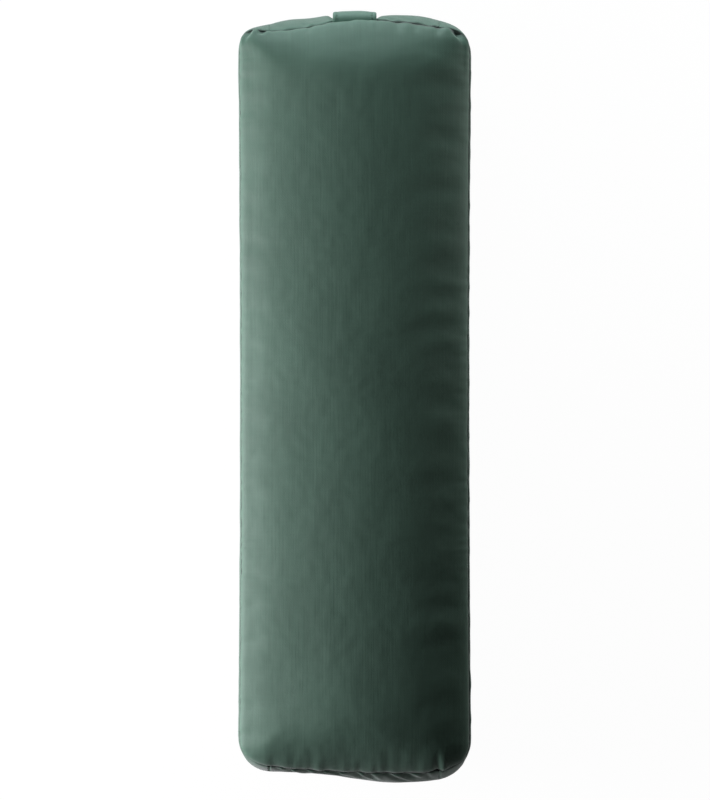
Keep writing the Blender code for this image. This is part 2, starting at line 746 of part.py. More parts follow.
def wad_outer(y):
    """Section of the sleeve's outside, under the liner's crown."""
    room = LINER + 0.0006
    ring = []
    columns = (-1, -0.96, -0.86, -0.7, -0.45, 0, 0.45, 0.7, 0.86, 0.96, 1)
    for t in columns:
        x = t * wad_half
        share = share_at(x, y)
        drop = 0.0016 * share + (0.006 if abs(t) == 1 else 0.0)
        ring.append((x, y + SHIFT_Y, liner_top(share) - room - drop))
    for t in reversed(columns):
        x = t * wad_half
        share = share_at(x, y)
        drop = 0.0016 * share + (0.006 if abs(t) == 1 else 0.0)
        ring.append((x, y + SHIFT_Y, liner_bottom(share) + room + drop))
    return ring


def wad_inner(y):
    """Section of the sleeve's inside, round the foam."""
    w = FOAM_HALF_WIDTH + GAP
    low, high = FOAM_UNDER - GAP, FOAM_TOP + GAP
    r = FOAM_ROUND
    ring = []
    top = [(-w, high - r), (-w + r * 0.13, high - r * 0.5), (-w + r * 0.5, high - r * 0.13)]
    top += [(-w + r, high), (-w * 0.45, high), (0.0, high)]
    top += [(-x, z) for x, z in reversed(top[:-1])]
    for x, z in top + [(-x, low + high - z) for x, z in top]:
        ring.append((x, y + SHIFT_Y, z))
    return ring


rows = [WADDING_HALF_LENGTH * t for t in (-1, -0.9, -0.76, -0.4, 0, 0.4, 0.76, 0.9, 1)]
tube_solid("wadding_wrap", [wad_outer(y) for y in rows], [wad_inner(y) for y in rows], WADDING)


def foam_section(y, shrink):
    r = FOAM_ROUND
    w, low, high = FOAM_HALF_WIDTH - shrink, FOAM_UNDER + shrink, FOAM_TOP - shrink
    ring = []
    for cx, cz, start in ((w - r, high - r, 0), (r - w, high - r, 90), (r - w, low + r, 180), (w - r, low + r, 270)):
        for k in range(5):
            turn = math.radians(start + 22.5 * k)
            ring.append((cx + r * math.cos(turn), y + SHIFT_Y, cz + r * math.sin(turn)))
    return ring


soft = 0.003
ends = ((-FOAM_HALF_LENGTH, soft), (-FOAM_HALF_LENGTH + soft, 0.0))
ends += ((FOAM_HALF_LENGTH - soft, 0.0), (FOAM_HALF_LENGTH, soft))
sections_solid("foam_core", [foam_section(y, s) for y, s in ends], FOAM)

for item in bpy.data.objects:
    if item.type == "MESH" and not item.hide_render:
        item.data.shade_smooth()
        item.data.set_sharp_from_angle(angle=math.radians(35))
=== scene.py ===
import json
import math

import bmesh
import bpy
import numpy as np
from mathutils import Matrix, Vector, noise
from mathutils.bvhtree import BVHTree

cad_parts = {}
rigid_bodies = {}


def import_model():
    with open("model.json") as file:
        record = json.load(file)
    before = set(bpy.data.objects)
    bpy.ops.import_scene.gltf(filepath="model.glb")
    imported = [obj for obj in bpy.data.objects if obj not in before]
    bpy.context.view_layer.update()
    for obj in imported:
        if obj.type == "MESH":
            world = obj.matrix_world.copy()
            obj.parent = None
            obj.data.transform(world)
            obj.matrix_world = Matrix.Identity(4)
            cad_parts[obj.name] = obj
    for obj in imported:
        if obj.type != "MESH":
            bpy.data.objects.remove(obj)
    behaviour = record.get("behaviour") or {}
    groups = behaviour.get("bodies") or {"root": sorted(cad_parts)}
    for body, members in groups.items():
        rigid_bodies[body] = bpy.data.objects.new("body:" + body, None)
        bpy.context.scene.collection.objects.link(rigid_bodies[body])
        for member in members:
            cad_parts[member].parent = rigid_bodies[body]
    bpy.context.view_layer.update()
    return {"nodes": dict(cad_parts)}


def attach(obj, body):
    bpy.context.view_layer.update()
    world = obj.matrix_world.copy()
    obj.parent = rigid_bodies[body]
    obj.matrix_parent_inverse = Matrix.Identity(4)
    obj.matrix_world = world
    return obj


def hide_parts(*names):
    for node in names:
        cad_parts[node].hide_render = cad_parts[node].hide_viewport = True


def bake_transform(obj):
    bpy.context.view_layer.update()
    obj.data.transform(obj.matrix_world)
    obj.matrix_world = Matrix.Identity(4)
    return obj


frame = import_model()

bl_info = {
    "name": "Yoga bolster",
    "version": (1, 0, 0),
    "blender": (4, 5, 0),
    "location": "View3D > Sidebar > Bolster",
    "description": "A rectangular yoga bolster with a cloth cover, strap, zip and filling",
    "category": "Add Mesh",
}

# Sizes of the cover's cut, in metres, as the solids have them
HALF_LENGTH, HALF_WIDTH, CORNER = 0.341, 0.1035, 0.028
STRAIGHT_X, STRAIGHT_Y = HALF_WIDTH - CORNER, HALF_LENGTH - CORNER
# How much further out the sides stand at the ends, and how far the ends' corners draw back
WAIST, HANDLE_BOW, PLAIN_BOW = 0.002, 0.008, 0.005
# Heights of the two seams and of the middle between them, and half the bands' height
LOW_SEAM, HIGH_SEAM, MIDDLE, BAND_HALF = 0.025, 0.120, 0.0725, 0.0475
# How much further the back would hang if nothing pressed it flat, and how the bands stand out
BACK_SINK, SIDE_BULGE, END_BULGE = 0.0035, 0.0025, 0.012
# Place of the cover's middle along Y
SHIFT_Y = -0.0022
# The zip: its cloth folds and tapes along X, its opening along Y, its chain and one tape
FOLD_X, TAPE_X = 0.1015, 0.0985
ZIP_REACH, ZIP_BLEND, ZIP_HALF_OPENING = 0.288, 0.016, 0.007
CHAIN_HALF_LENGTH, TAPE_WIDTH, TAPE_EDGE = 0.270, 0.012, 0.0032
# The strap: its tail in the seam, the height where it leaves it, how far out it starts there
# and stands at mid height, the band's dimple under it, its fall, the curl of its edges
STRAP_THICK, STRAP_TAIL, STRAP_DROP, STRAP_START, STRAP_OUT = 0.0027, 0.0095, 0.1185, 0.0052, 0.0137
STRAP_DIMPLE, STRAP_FALL, STRAP_CUP, STITCH_INSET = 0.0034, 0.020, 0.0021, 0.0040
CORE_INSET, CORE_THICK = 0.0009, 0.0009
# Radius of a topstitch on the strap and beside the zip
STRAP_THREAD, ZIP_THREAD = 0.00038, 0.0003
# The strap draws the face seam out over it: place along X and how far, in mm
SEAM_ARCH = [
    (-45, 0), (-27, 2.6), (-16, 4.0), (0, 5.0), (10, 5.6), (33, 4.8), (60, 3.6), (80, 1.2), (95, 0),
]
# The block, with the rounding of its edges and ends and the room round it
FOAM_HALF_WIDTH, FOAM_HALF_LENGTH, FOAM_LOW, FOAM_HIGH = 0.080, 0.300, 0.017, 0.129
FOAM_ROUND, FOAM_SOFT, FOAM_GAP = 0.012, 0.003, 0.0004
# The sleeve and the inner bag, and how far each lies under the face and over the back
WADDING_HALF_LENGTH, WADDING_HALF_WIDTH, WADDING_CELLS = 0.303, 0.0905, 26
WADDING_UNDER, WADDING_OVER = 0.0075, 0.0032
BAG_INSET, BAG_UNDER, BAG_OVER = 0.0115, 0.0058, 0.0016
# How far each half of the bag runs past the middle, and how far its sides stand out
BAG_LAP, BAG_BULGE = 0.004, 0.0045
# How far in from an end the face is rounded over
END_FALL, END_REACH = 0.060, 0.078
PLAIN_FALL, PLAIN_REACH = 0.060, 0.079
# The ends sit askew by so much at this place along X, and the face is cut square at its corners
ASKEW_AT, PLAIN_ASKEW, HANDLE_ASKEW = 0.086, 0.0030, 0.0018
LEFT_CORNER_FULL, SQUARE_RIGHT, SQUARE_LEFT = 0.0024, 0.0034, 0.0026
# The end band beside the strap: how far it stands up there, and where it dips under the strap
BESIDE_LEFT, BESIDE_RIGHT, STRAP_SIDE, STRAP_CLEAR = 0.0018, 0.0006, 0.0203, 0.0216
# Unevenness of the filling, how much it is heaped to the right, and how the sides stand out
LUMPS, HEAP, ZIP_SIDE_PUSH, LEFT_ROLL = 0.0011, 0.08, 0.0010, 0.0022
# Where the puckers are read off for the edge of a panel, in from its seam
PUCKER_DEPTH = 0.012
# The cloth simulation: its steps, how firmly the cloth is held, and how far its bands may move
SETTLE_STEPS = 22
OPEN_HOLD, BAND_HOLD, NEAR_HOLD = 0.34, 0.50, 0.8
BAND_CAP, BACK_CAP_SHARE, FACE_TOP = 0.0013, 0.6, 0.1518
# Beside the zip the cloth is folded behind itself: how far in along X, and along Z
FOLD_LIP, FOLD_BACK = 0.0005, [(0.0021, 0.0), (0.0022, 0.0035), (0.0022, 0.0085)]
# Gathers at the seams: the lengths of their two waves and how high they are
GATHER_LONG, GATHER_SHORT, GATHER_HEIGHT = 0.0167, 0.0105, 0.00055

# Puckers along the right-hand seam: place along Y, depth, half width, reach across, all in mm
RIGHT_PUCKERS = [
    (324, 1.5, 4, 46), (311, 1.8, 5, 54), (284, 2.3, 6, 66), (262, 1.0, 4, 40),
    (235, 1.8, 5, 56), (212, 0.9, 4, 38), (191, 2.4, 6, 68), (164, 1.6, 5, 50),
    (149, 1.5, 4, 52), (126, 1.7, 5, 54), (112, 1.4, 4, 48), (90, 1.8, 5, 58),
    (67, 2.8, 5, 70), (39, 1.7, 5, 56), (24, 1.4, 4, 48), (3, 1.7, 5, 54),
    (-12, 1.4, 4, 48), (-49, 1.9, 7, 58), (-74, 1.9, 7, 58), (-105, 1.7, 5, 54),
    (-125, 1.5, 5, 48), (-148, 0.9, 4, 38), (-168, 1.7, 5, 56), (-190, 1.6, 5, 54),
    (-217, 1.9, 5, 64), (-240, 3.0, 9, 62), (-277, 2.0, 8, 58), (-305, 1.6, 5, 50),
    (-323, 1.4, 4, 40),
]
LEFT_PUCKERS = [
    (318, 0.9, 5, 26), (291, 0.7, 4, 24), (266, 1.0, 6, 30), (238, 0.6, 4, 24),
    (207, 0.9, 6, 30), (176, 0.7, 5, 26), (142, 1.0, 6, 32), (113, 0.6, 4, 24),
    (81, 0.9, 6, 30), (46, 0.8, 5, 28), (14, 0.7, 5, 26), (-22, 0.9, 6, 30),
    (-57, 0.6, 5, 24), (-88, 0.9, 6, 30), (-121, 0.7, 5, 26), (-156, 1.0, 6, 32),
    (-189, 0.7, 4, 24), (-222, 0.9, 6, 30), (-251, 0.7, 5, 26), (-284, 1.0, 6, 30),
    (-313, 0.8, 5, 24),
]
# Along the ends the place is along X
HANDLE_PUCKERS = [
    (-91, 3.2, 2.6, 7), (-82, 3.2, 2.6, 7), (-62, 0.5, 4, 14), (-41, 1.0, 3, 10),
    (38, 0.6, 4, 14), (55, 0.5, 4, 12), (74, 0.9, 3, 12), (90, 4.4, 3.8, 8),
]
PLAIN_PUCKERS = [
    (-72, 0.3, 3, 16), (-54, 0.5, 4, 30), (-46, 0.4, 3, 24), (-38, 0.4, 4, 28),
    (-14, 0.2, 4, 18), (8, 0.2, 4, 18), (31, 0.5, 4, 30), (39, 0.4, 4, 26), (56, 0.3, 3, 16),
]
PLEAT_X = 0.0735
# Painted shade in the deep tucks of the face's seam at the handle end, dark inside: place along X
# and size
TUCK_SHADE_SPOTS = [(-0.091, 0.0024), (-0.082, 0.0024), (0.0905, 0.0052)]
# Slanting folds down the end bands: place along X under the seam, depth, half width
PLAIN_FOLDS = [
    (-74, 1.0, 4), (-62, 1.7, 4), (-48, 1.7, 4), (-34, 1.8, 4), (-20, 1.4, 4),
    (-2, 1.9, 5), (12, 1.7, 4), (29, 1.6, 5), (47, 1.1, 5), (64, 1.2, 4),
]
HANDLE_FOLDS = [(-66, 0.8, 5), (-44, 0.7, 4), (34, 0.8, 4), (49, 0.7, 5), (68, 0.9, 5)]

# Rows of the bands from the face seam at 1 to the back seam at -1; the zip opens between two
LEVELS = [1, 0.953, 0.872, 0.775, 0.67, 0.565, 0.46, 0.36, 0.27, 0.185, 0.1]
LEVELS = LEVELS + [0.0] + [-t for t in reversed(LEVELS)]
FOLD_ROWS = (10, 12)
SEWN_FOLD = 0.0006
# The back is cut beside the face on the flat cloth, this far along X
BACK_CUT = 0.5

# Each part of the cover: its name here, the sheet's part, and the solid it stands for
PANELS = [
    ("face_cover", "face", "face_panel"),
    ("back_cover", "back", "back_panel"),
    ("side_cover_left", "left", "side_band_left"),
    ("side_cover_zip_upper", "zip_upper", "side_band_zip_upper"),
    ("side_cover_zip_lower", "zip_lower", "side_band_zip_lower"),
    ("end_cover_handle", "handle_end", "end_band_handle"),
    ("end_cover_plain", "plain_end", "end_band_plain"),
]
# Castings: solid, name, body and how far the edges are rounded
CASTS = [
    ("zip_slider", "zip_slider_cast", "zip_slider", 0.00025),
    ("zip_pull_tab", "zip_tab_cast", "pull_tab", 0.00025),
    ("zip_top_stop_upper", "zip_stop_upper_cast", "cover", 0.00012),
    ("zip_top_stop_lower", "zip_stop_lower_cast", "cover", 0.00012),
    ("zip_bottom_stop", "zip_stop_bottom_cast", "cover", 0.00012),
]
# Low softboxes, mostly from the left, a little less green there and cooler at the handle end:
# name, bearing and elevation in degrees, power, distance, colour
WARM, COOL, NEUTRAL = (1.0, 0.955, 1.0), (0.86, 1.0, 1.02), (1, 1, 1)
LAMPS = [
    ("lamp_left_far", 176, 8, 53, 2.6, WARM),
    ("lamp_left_near", 190, 13, 27.5, 1.3, WARM),
    ("lamp_handle_end", 93, 2.5, 4.2, 0.8, COOL),
    ("lamp_right_low", 27, 3, 1.75, 0.7, NEUTRAL),
]
# The studio: size and place of the floor, how it glows, the sky's light, and the camera
FLOOR_HALF, FLOOR_Z, FLOOR_GLOW, GLOW_SHARE, SKY_LIGHT = 12.0, -0.0002, 1.05, 0.93, 0.02
CAMERA_PLACE, CAMERA_LENS, CAMERA_SENSOR = (0.0005, -0.0032, 2.9725), 141.0, 36.0
# A softbox's size at this distance, and the height that all of them aim at
SOFTBOX_WIDE, SOFTBOX_LONG, SOFTBOX_AWAY, AIM_HEIGHT = 1.2, 1.6, 2.6, 0.1


def linear(text):
    """An sRGB hex value as linear red, green and blue."""
    parts = [int(text[i : i + 2], 16) / 255 for i in (1, 3, 5)]
    return [c / 12.92 if c <= 0.04045 else ((c + 0.055) / 1.055) ** 2.4 for c in parts]


def length(name, value, text):
    return bpy.props.FloatProperty(
        name=name, description=text, default=value, unit="LENGTH", precision=4
    )


def tint(name, text, why):
    return bpy.props.FloatVectorProperty(
        name=name, description=why, default=linear(text), subtype="COLOR", min=0, max=1
    )


class BolsterSizes(bpy.types.PropertyGroup):
    """Sizes of the soft parts that a user may want to change."""

    face_crown: length("Face crown", 0.0298, "Rise of the filled face over its seam")
    back_crown: length("Back crown", 0.0250, "Fall of the back under its seam")
    seam_sink: length("Seam depth", 0.0012, "How deep the seams sit in the cloth")
    strap_width: length("Strap width", 0.040, "Width of the carry handle")
    stitch: length("Stitch length", 0.0034, "Length of one topstitch")
    thread: length("Thread spacing", 0.0015, "Spacing of the weave as it is drawn")
    move_cap: length("Fabric movement", 0.0045, "The most that the settled cloth moves")
    fullness: bpy.props.FloatProperty(
        name="Fullness",
        description="Extra cloth eased into the seams, as a share",
        default=0.022,
        min=0.0,
        max=0.06,
        subtype="FACTOR",
    )


class BolsterColours(bpy.types.PropertyGroup):
    """Colours of the bolster's cloths, zip and filling."""

    cover: tint("Cover", "#456455", "Dyed cotton of the cover")
    strap: tint("Strap", "#4C6F5F", "The same cotton, folded double")
    webbing: tint("Webbing", "#3C4A44", "Core of the handle")
    tape: tint("Zip tape", "#34483F", "Woven tape of the zip")
    teeth: tint("Zip teeth", "#2F423A", "Moulded teeth")
    metal: tint("Zip metal", "#8C9390", "Slider, tab and stops")
    liner: tint("Inner bag", "#E4E1D8", "Calico of the inner bag")
    wadding: tint("Wadding", "#F1EFEA", "Polyester wadding")
    foam: tint("Foam", "#D9D3BE", "Foam block")
    floor: tint("Floor", "#B9B9B7", "Studio floor, as it throws light back")


def settings():
    return bpy.context.scene.bolster_sizes, bpy.context.scene.bolster_colours


# ---------------------------------------------------------------- materials


def node(tree, kind, feeds=None, **values):
    """Add a node with its settings and input values; feeds are numbers, sockets or nodes."""
    made = tree.nodes.new("ShaderNode" + kind)
    for key, value in values.items():
        if hasattr(made, key) and not key[0].isupper():
            setattr(made, key, value)
        else:
            made.inputs[key.replace("_", " ")].default_value = value
    for key, source in (feeds or {}).items():
        if isinstance(source, (int, float, list)):
            made.inputs[key].default_value = source
        else:
            tree.links.new(getattr(source, "outputs", [source])[0], made.inputs[key])
    return made


def maths(tree, operation, *feeds):
    return node(tree, "Math", dict(enumerate(feeds)), operation=operation)


def blank(name):
    made = bpy.data.materials.new(name)
    made.use_nodes = True
    made.node_tree.nodes.clear()
    return made, made.node_tree


def shade(colour, factor):
    """A colour made lighter or darker, as red, green, blue and alpha."""
    return [min(1.0, c * factor) for c in colour[:3]] + [1.0]


def ramp(tree, source, places, factors, colour):
    """A blend from a darker to a lighter shade of one colour."""
    made = node(tree, "ValToRGB", {"Fac": source})
    for stop, place, factor in zip(made.color_ramp.elements, places, factors):
        stop.position = place
        stop.color = shade(colour, factor)
    return made


def surface(tree, feeds, **values):
    """The shader that ends a material's tree."""
    node(tree, "OutputMaterial", {"Surface": node(tree, "BsdfPrincipled", feeds, **values)})


def woven(name, colour, thread, contrast, rough, sheen, slub=1.0, relief=0.00022):
    """A plain weave. Its threads run along V of the cut, and the coordinates are metres."""
    made, tree = blank(name)
    place = node(tree, "UVMap", uv_map="cut")

    def yarn(across, along, detail, roughness):
        scaled = node(tree, "Mapping", {"Vector": place}, Scale=(1 / across, 1 / along, 1))
        look = {"Scale": 1.0, "Detail": detail, "Roughness": roughness}
        return node(tree, "TexNoise", {"Vector": scaled, **look})

    # Slubs: thick places in the yarn, 1.7 mm across and 60 mm long as they read at this size
    slubs, weft = yarn(0.0017, 0.06, 2.0, 0.6), yarn(0.022, 0.0019, 1.0, 0.5)
    # Soft patches where the dye took unevenly, about 90 mm across
    patches = node(tree, "TexNoise", {"Vector": place}, Scale=11.0, Detail=3.0, Roughness=0.55)
    slub_share, weft_share = 0.65, 0.3
    tone = maths(tree, "MULTIPLY_ADD", slubs, slub_share, patches)
    tone = maths(tree, "MULTIPLY_ADD", weft, weft_share, tone)
    mean = maths(tree, "DIVIDE", tone, 1 + slub_share + weft_share)
    worn_and_shaded = ramp(tree, mean, (0.36, 0.64), (1 - contrast, 1 + contrast), colour)
    # Edges rub paler where the cloth rolls over a seam, and what lies down in it is painted dark as
    # shade
    for attribute, factor in (("rubbed", 1.45), ("painted_seam_shade", 0.2)):
        share = node(tree, "Attribute", attribute_name=attribute).outputs["Fac"]
        feeds = {0: share, 6: worn_and_shaded, 7: shade(colour, factor)}
        worn_and_shaded = node(tree, "Mix", feeds, data_type="RGBA").outputs[2]
    # The real threads lie under half a millimetre apart, so they are drawn coarser to show
    axes = node(tree, "SeparateXYZ", {"Vector": place}).outputs[:2]
    waves = [maths(tree, "SINE", maths(tree, "MULTIPLY", a, math.tau / thread)) for a in axes]
    height = maths(tree, "MULTIPLY_ADD", maths(tree, "MULTIPLY", *waves), 0.35, slubs)
    bump = node(tree, "Bump", {"Height": height}, Strength=0.45 * slub, Distance=relief)
    bloom = {"Sheen Weight": sheen, "Sheen Roughness": 0.45, "Sheen Tint": [1.0, 0.93, 1.0, 1]}
    surface(tree, {"Base Color": worn_and_shaded, "Normal": bump, **bloom}, Roughness=rough)
    return made


def plain(name, colour, rough, metal, pattern, bump_height, spread=0.06):
    """A solid material with fine grain: pattern is the grain size in metres."""
    made, tree = blank(name)
    place = node(tree, "TexCoord").outputs["Object"]
    grain = node(tree, "TexNoise", {"Vector": place}, Scale=1 / pattern, Detail=4.0)
    look = ramp(tree, grain, (0.3, 0.7), (1 - spread, 1 + spread), colour)
    ends = {"To Min": rough - 0.06, "To Max": min(1.0, rough + 0.06)}
    dull = node(tree, "MapRange", {"Value": grain, **ends})
    bump = node(tree, "Bump", {"Height": grain}, Strength=0.4, Distance=bump_height)
    surface(tree, {"Base Color": look, "Roughness": dull, "Normal": bump}, Metallic=metal)
    return made


def herringbone(name, colour):
    """Woven zip tape: slanting ribs 1.1 mm apart, turned about every 3 mm, matt polyester."""
    made, tree = blank(name)
    x, y, _ = node(tree, "SeparateXYZ", {"Vector": node(tree, "UVMap", uv_map="cut")}).outputs
    slant = maths(tree, "ADD", maths(tree, "PINGPONG", x, 0.003), y)
    rib = maths(tree, "SINE", maths(tree, "MULTIPLY", slant, math.tau / 0.0011))
    level = node(tree, "MapRange", {"Value": rib, "From Min": -1.0})
    look = ramp(tree, level, (0.1, 0.9), (0.82, 1.15), colour)
    bump = node(tree, "Bump", {"Height": level}, Strength=0.5, Distance=0.0002)
    surface(tree, {"Base Color": look, "Normal": bump}, Roughness=0.8, Sheen_Weight=0.1)
    return made


def material(name):
    """The bolster's materials by name, each made once."""
    if name in bpy.data.materials:
        return bpy.data.materials[name]
    sizes, colours = settings()
    kind, *values = {
        # Plain-woven dyed cotton: matt, faint long slubs, a pale bloom at grazing angles
        "woven_cotton_cover": (woven, colours.cover, sizes.thread, 0.10, 0.67, 0.16),
        # The same cotton folded and pressed flat: a little smoother
        "woven_cotton_strap": (woven, colours.strap, sizes.thread, 0.10, 0.64, 0.16),
        # Spun polyester sewing thread, a shade paler than the cloth and slightly glossy
        "topstitch_thread": (plain, shade(colours.cover, 1.25), 0.55, 0.0, 0.0006, 0.00005),
        # Ribbed narrow weave, dull sheen
        "polypropylene_webbing": (woven, colours.webbing, 0.0018, 0.16, 0.7, 0.1, 0.8, 0.0004),
        "polyester_zip_tape": (herringbone, colours.tape),
        # Injection-moulded acetal: smooth, a soft highlight, fine mould texture
        "moulded_acetal_teeth": (plain, colours.teeth, 0.42, 0.0, 0.0012, 0.00003),
        # Die-cast zinc with tumbled nickel plate: soft blurred reflections
        "satin_nickel": (plain, colours.metal, 0.34, 1.0, 0.0009, 0.00002, 0.03),
        # Loose plain weave with the husk flecks of unbleached cotton
        "unbleached_calico": (woven, colours.liner, 0.0014, 0.07, 0.9, 0.1),
        # Carded fibre: no gloss, cloudy tufts about 8 mm across
        "polyester_wadding": (plain, colours.wadding, 0.94, 0.0, 0.008, 0.0012, 0.05),
        # Open-cell foam: matt, pores drawn at 2 mm where the real ones are under 1 mm
        "polyurethane_foam": (plain, colours.foam, 0.93, 0.0, 0.002, 0.0006, 0.08),
    }[name]
    return kind(name, *values)


# ---------------------------------------------------------------- mesh helpers


def smooth_step(low, high, value):
    t = np.clip((value - low) / (high - low), 0, 1)
    return t * t * (3 - 2 * t)


def bell(value, middle, wide):
    return np.exp(-(((value - middle) / wide) ** 2))


def linked(name, data):
    obj = bpy.data.objects.new(name, data)
    bpy.context.scene.collection.objects.link(obj)
    return obj


def mesh_object(name, verts, faces, look, cut=None, by_corner=False):
    """A smooth-shaded object; cut gives the flat place of each vertex or corner for the weave."""
    mesh = bpy.data.meshes.new(name)
    mesh.from_pydata([tuple(v) for v in verts], [], [tuple(f) for f in faces])
    if cut is not None:
        cut = np.asarray(cut, np.float32)
        if not by_corner:
            corners = np.zeros(len(mesh.loops), np.int32)
            mesh.loops.foreach_get("vertex_index", corners)
            cut = cut[corners]
        mesh.uv_layers.new(name="cut").data.foreach_set("uv", cut.ravel())
    mesh.polygons.foreach_set("use_smooth", [True] * len(mesh.polygons))
    mesh.materials.append(look)
    mesh.update()
    return linked(name, mesh)


def ring_quads(low, high, size):
    """Quads between two rings of points, given by where each ring starts."""
    turn = [(k, (k + 1) % size) for k in range(size)]
    return [(low + k, low + m, high + m, high + k) for k, m in turn]


def strip(sections, caps=True):
    """Faces round a row of like closed sections; without caps its last end stays open."""
    size, rows = len(sections[0]), len(sections)
    faces = []
    for a in range(0, (rows - 1) * size, size):
        faces += ring_quads(a, a + size, size)
    faces.append(tuple(reversed(range(size))))
    if caps:
        faces.append(tuple(range((rows - 1) * size, rows * size)))
    return [p for s in sections for p in s], faces


def outward(obj):
    """Turn a closed object's faces to look out."""
    bm = bmesh.new()
    bm.from_mesh(obj.data)
    bmesh.ops.recalc_face_normals(bm, faces=bm.faces)
    bm.to_mesh(obj.data)
    bm.free()
    return obj


def applied(obj, kind, **values):
    """Add a modifier and keep its result as the mesh."""
    tool = obj.modifiers.new(kind.lower(), kind)
    for key, value in values.items():
        setattr(tool, key, value)
    graph = bpy.context.evaluated_depsgraph_get()
    mesh = bpy.data.meshes.new_from_object(obj.evaluated_get(graph))
    obj.modifiers.clear()
    obj.data = mesh
    return obj


def subdivided(obj, levels=1):
    return applied(obj, "SUBSURF", levels=levels, render_levels=levels)


def vertex_cut(mesh):
    """Flat place of each vertex, from its corners."""
    corners = np.zeros(len(mesh.loops), np.int32)
    mesh.loops.foreach_get("vertex_index", corners)
    flat = np.zeros(len(mesh.loops) * 2, np.float32)
    mesh.uv_layers["cut"].data.foreach_get("uv", flat)
    cut = np.zeros((len(mesh.vertices), 2))
    cut[corners] = flat.reshape(-1, 2)
    return cut


def vectors(items, key):
    """One vector for each item of a mesh."""
    values = np.zeros(len(items) * 3, np.float32)
    items.foreach_get(key, values)
    return values.reshape(-1, 3).astype(float)


def cloudy(places, size, seed):
    """Smooth unevenness from -1 to 1, of a size in metres."""
    shift = Vector((seed * 7.31, seed * 3.17, seed * 1.93))
    scale = 1 / size
    return np.array([noise.noise(Vector(p) * scale + shift) for p in places])


def cloudy_panel(gx, gy, height, size, seed):
    places = np.stack([gx.ravel(), gy.ravel(), 0 * gx.ravel() + height], 1)
    return cloudy(places, size, seed).reshape(gx.shape)


def stand_in(obj, cad, body="cover"):
    """A piece that takes the place of a solid and rides one body."""
    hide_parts(cad)
    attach(obj, body)
    return obj


def stitches(name, seats, long, radius):
    """A row of sewn stitches: each seat is a place, a direction and the surface's normal."""
    verts, faces = [], []
    half, sides = long * 0.42, 6
    for place, along, up in seats:
        place, along, up = Vector(place), Vector(along).normalized(), Vector(up).normalized()
        side = up.cross(along).normalized()
        base = len(verts)
        verts.append(place - along * half - up * radius * 0.6)
        for t, r in ((-0.72, 0.8), (0.0, 1.05), (0.72, 0.8)):
            for k in range(sides):
                turn = math.tau * k / sides
                lift = math.sin(turn) * radius * r + radius * 0.15
                out = side * math.cos(turn) * radius * r
                verts.append(place + along * half * t + out + up * lift)
        last = len(verts)
        verts.append(place + along * half - up * radius * 0.6)
        for k in range(sides):
            m = (k + 1) % sides
            faces.append((base, base + 1 + m, base + 1 + k))
            faces.append((last - sides + k, last - sides + m, last))
        for a in (base + 1, base + 1 + sides):
            faces += ring_quads(a, a + sides, sides)
    return outward(mesh_object(name, verts, faces, material("topstitch_thread")))


# ---------------------------------------------------------------- the cover's form


def graded(straight, cells):
    """Places along a side, even on its straight and finer round the corners."""
    quarter = math.pi * CORNER / 4
    half = [straight * k / cells for k in range(cells)]
    half += [straight + quarter * t for t in (0.0, 0.24, 0.48, 0.70, 0.90, 1.0)]
    return np.array([-d for d in reversed(half[1:])] + half)


def side_curve(places, straight, other):
    """A side with half of each corner: distance along it, and its own place across."""
    away = np.abs(places)
    turn = np.clip((away - straight) / CORNER, 0, None)
    along = np.sign(places) * np.where(turn > 0, straight + CORNER * np.sin(turn), away)
    return along, np.where(turn > 0, other - CORNER + CORNER * np.cos(turn), other)


def panel_grid():
    """Flat places of a panel: a grid that fills the rounded rectangle, finest at its edge."""
    ends, sides = graded(STRAIGHT_X, 15), graded(STRAIGHT_Y, 62)
    # One column lies close beside the strap's edge
    ends = ends - 0.0027 * np.sign(ends) * bell(np.abs(ends), 0.0262, 0.004)
    end_x, end_y = side_curve(ends, STRAIGHT_X, HALF_LENGTH)
    side_y, side_x = side_curve(sides, STRAIGHT_Y, HALF_WIDTH)
    u = 2 * ((ends - ends[0]) / (ends[-1] - ends[0]))[None, :] - 1
    v = 2 * ((sides - sides[0]) / (sides[-1] - sides[0]))[:, None] - 1
    x = end_x[None, :] + side_x[:, None] * u - end_x[-1] * u
    y = end_y[None, :] * v + side_y[:, None] - side_y[-1] * v
    return x, y


def past_straight(x, y):
    """How far a place lies past the ends of the straights."""
    return np.abs(x) - STRAIGHT_X, np.abs(y) - STRAIGHT_Y


def inside(x, y):
    """Distance in from the seam line."""
    qx, qy = past_straight(x, y)
    out = np.hypot(np.maximum(qx, 0), np.maximum(qy, 0)) + np.minimum(np.maximum(qx, qy), 0)
    return CORNER - out


def edge_share(x, y):
    """0 along the middle of a panel and 1 at its seam, round at the corners."""
    across = np.abs(x) / HALF_WIDTH
    fall, reach = np.where(y > 0, END_FALL, PLAIN_FALL), np.where(y > 0, END_REACH, PLAIN_REACH)
    along = np.maximum(0, (np.abs(y) - (HALF_LENGTH - fall)) / fall)
    by_end = along**4 / (across**4 + along**4 + 1e-9)
    near = np.clip(1 - inside(x, y) / (HALF_WIDTH + (reach - HALF_WIDTH) * by_end), 0, 1)
    round_share = np.minimum((across**4 + along**4) ** 0.25, 1.0)
    mix = smooth_step(0.4, 0.92, near)
    return round_share * (1 - mix) + near * mix


def crown(share, power=2.2):
    """Height of a filled panel, 1 along its middle and 0 at its seam."""
    return np.clip(1 - share**power, 0, 1) ** 0.62


def back_fall(share, sizes):
    """The back hangs below its seam and is pressed flat where it rests."""
    return np.minimum(LOW_SEAM, (sizes.back_crown + BACK_SINK) * crown(share))


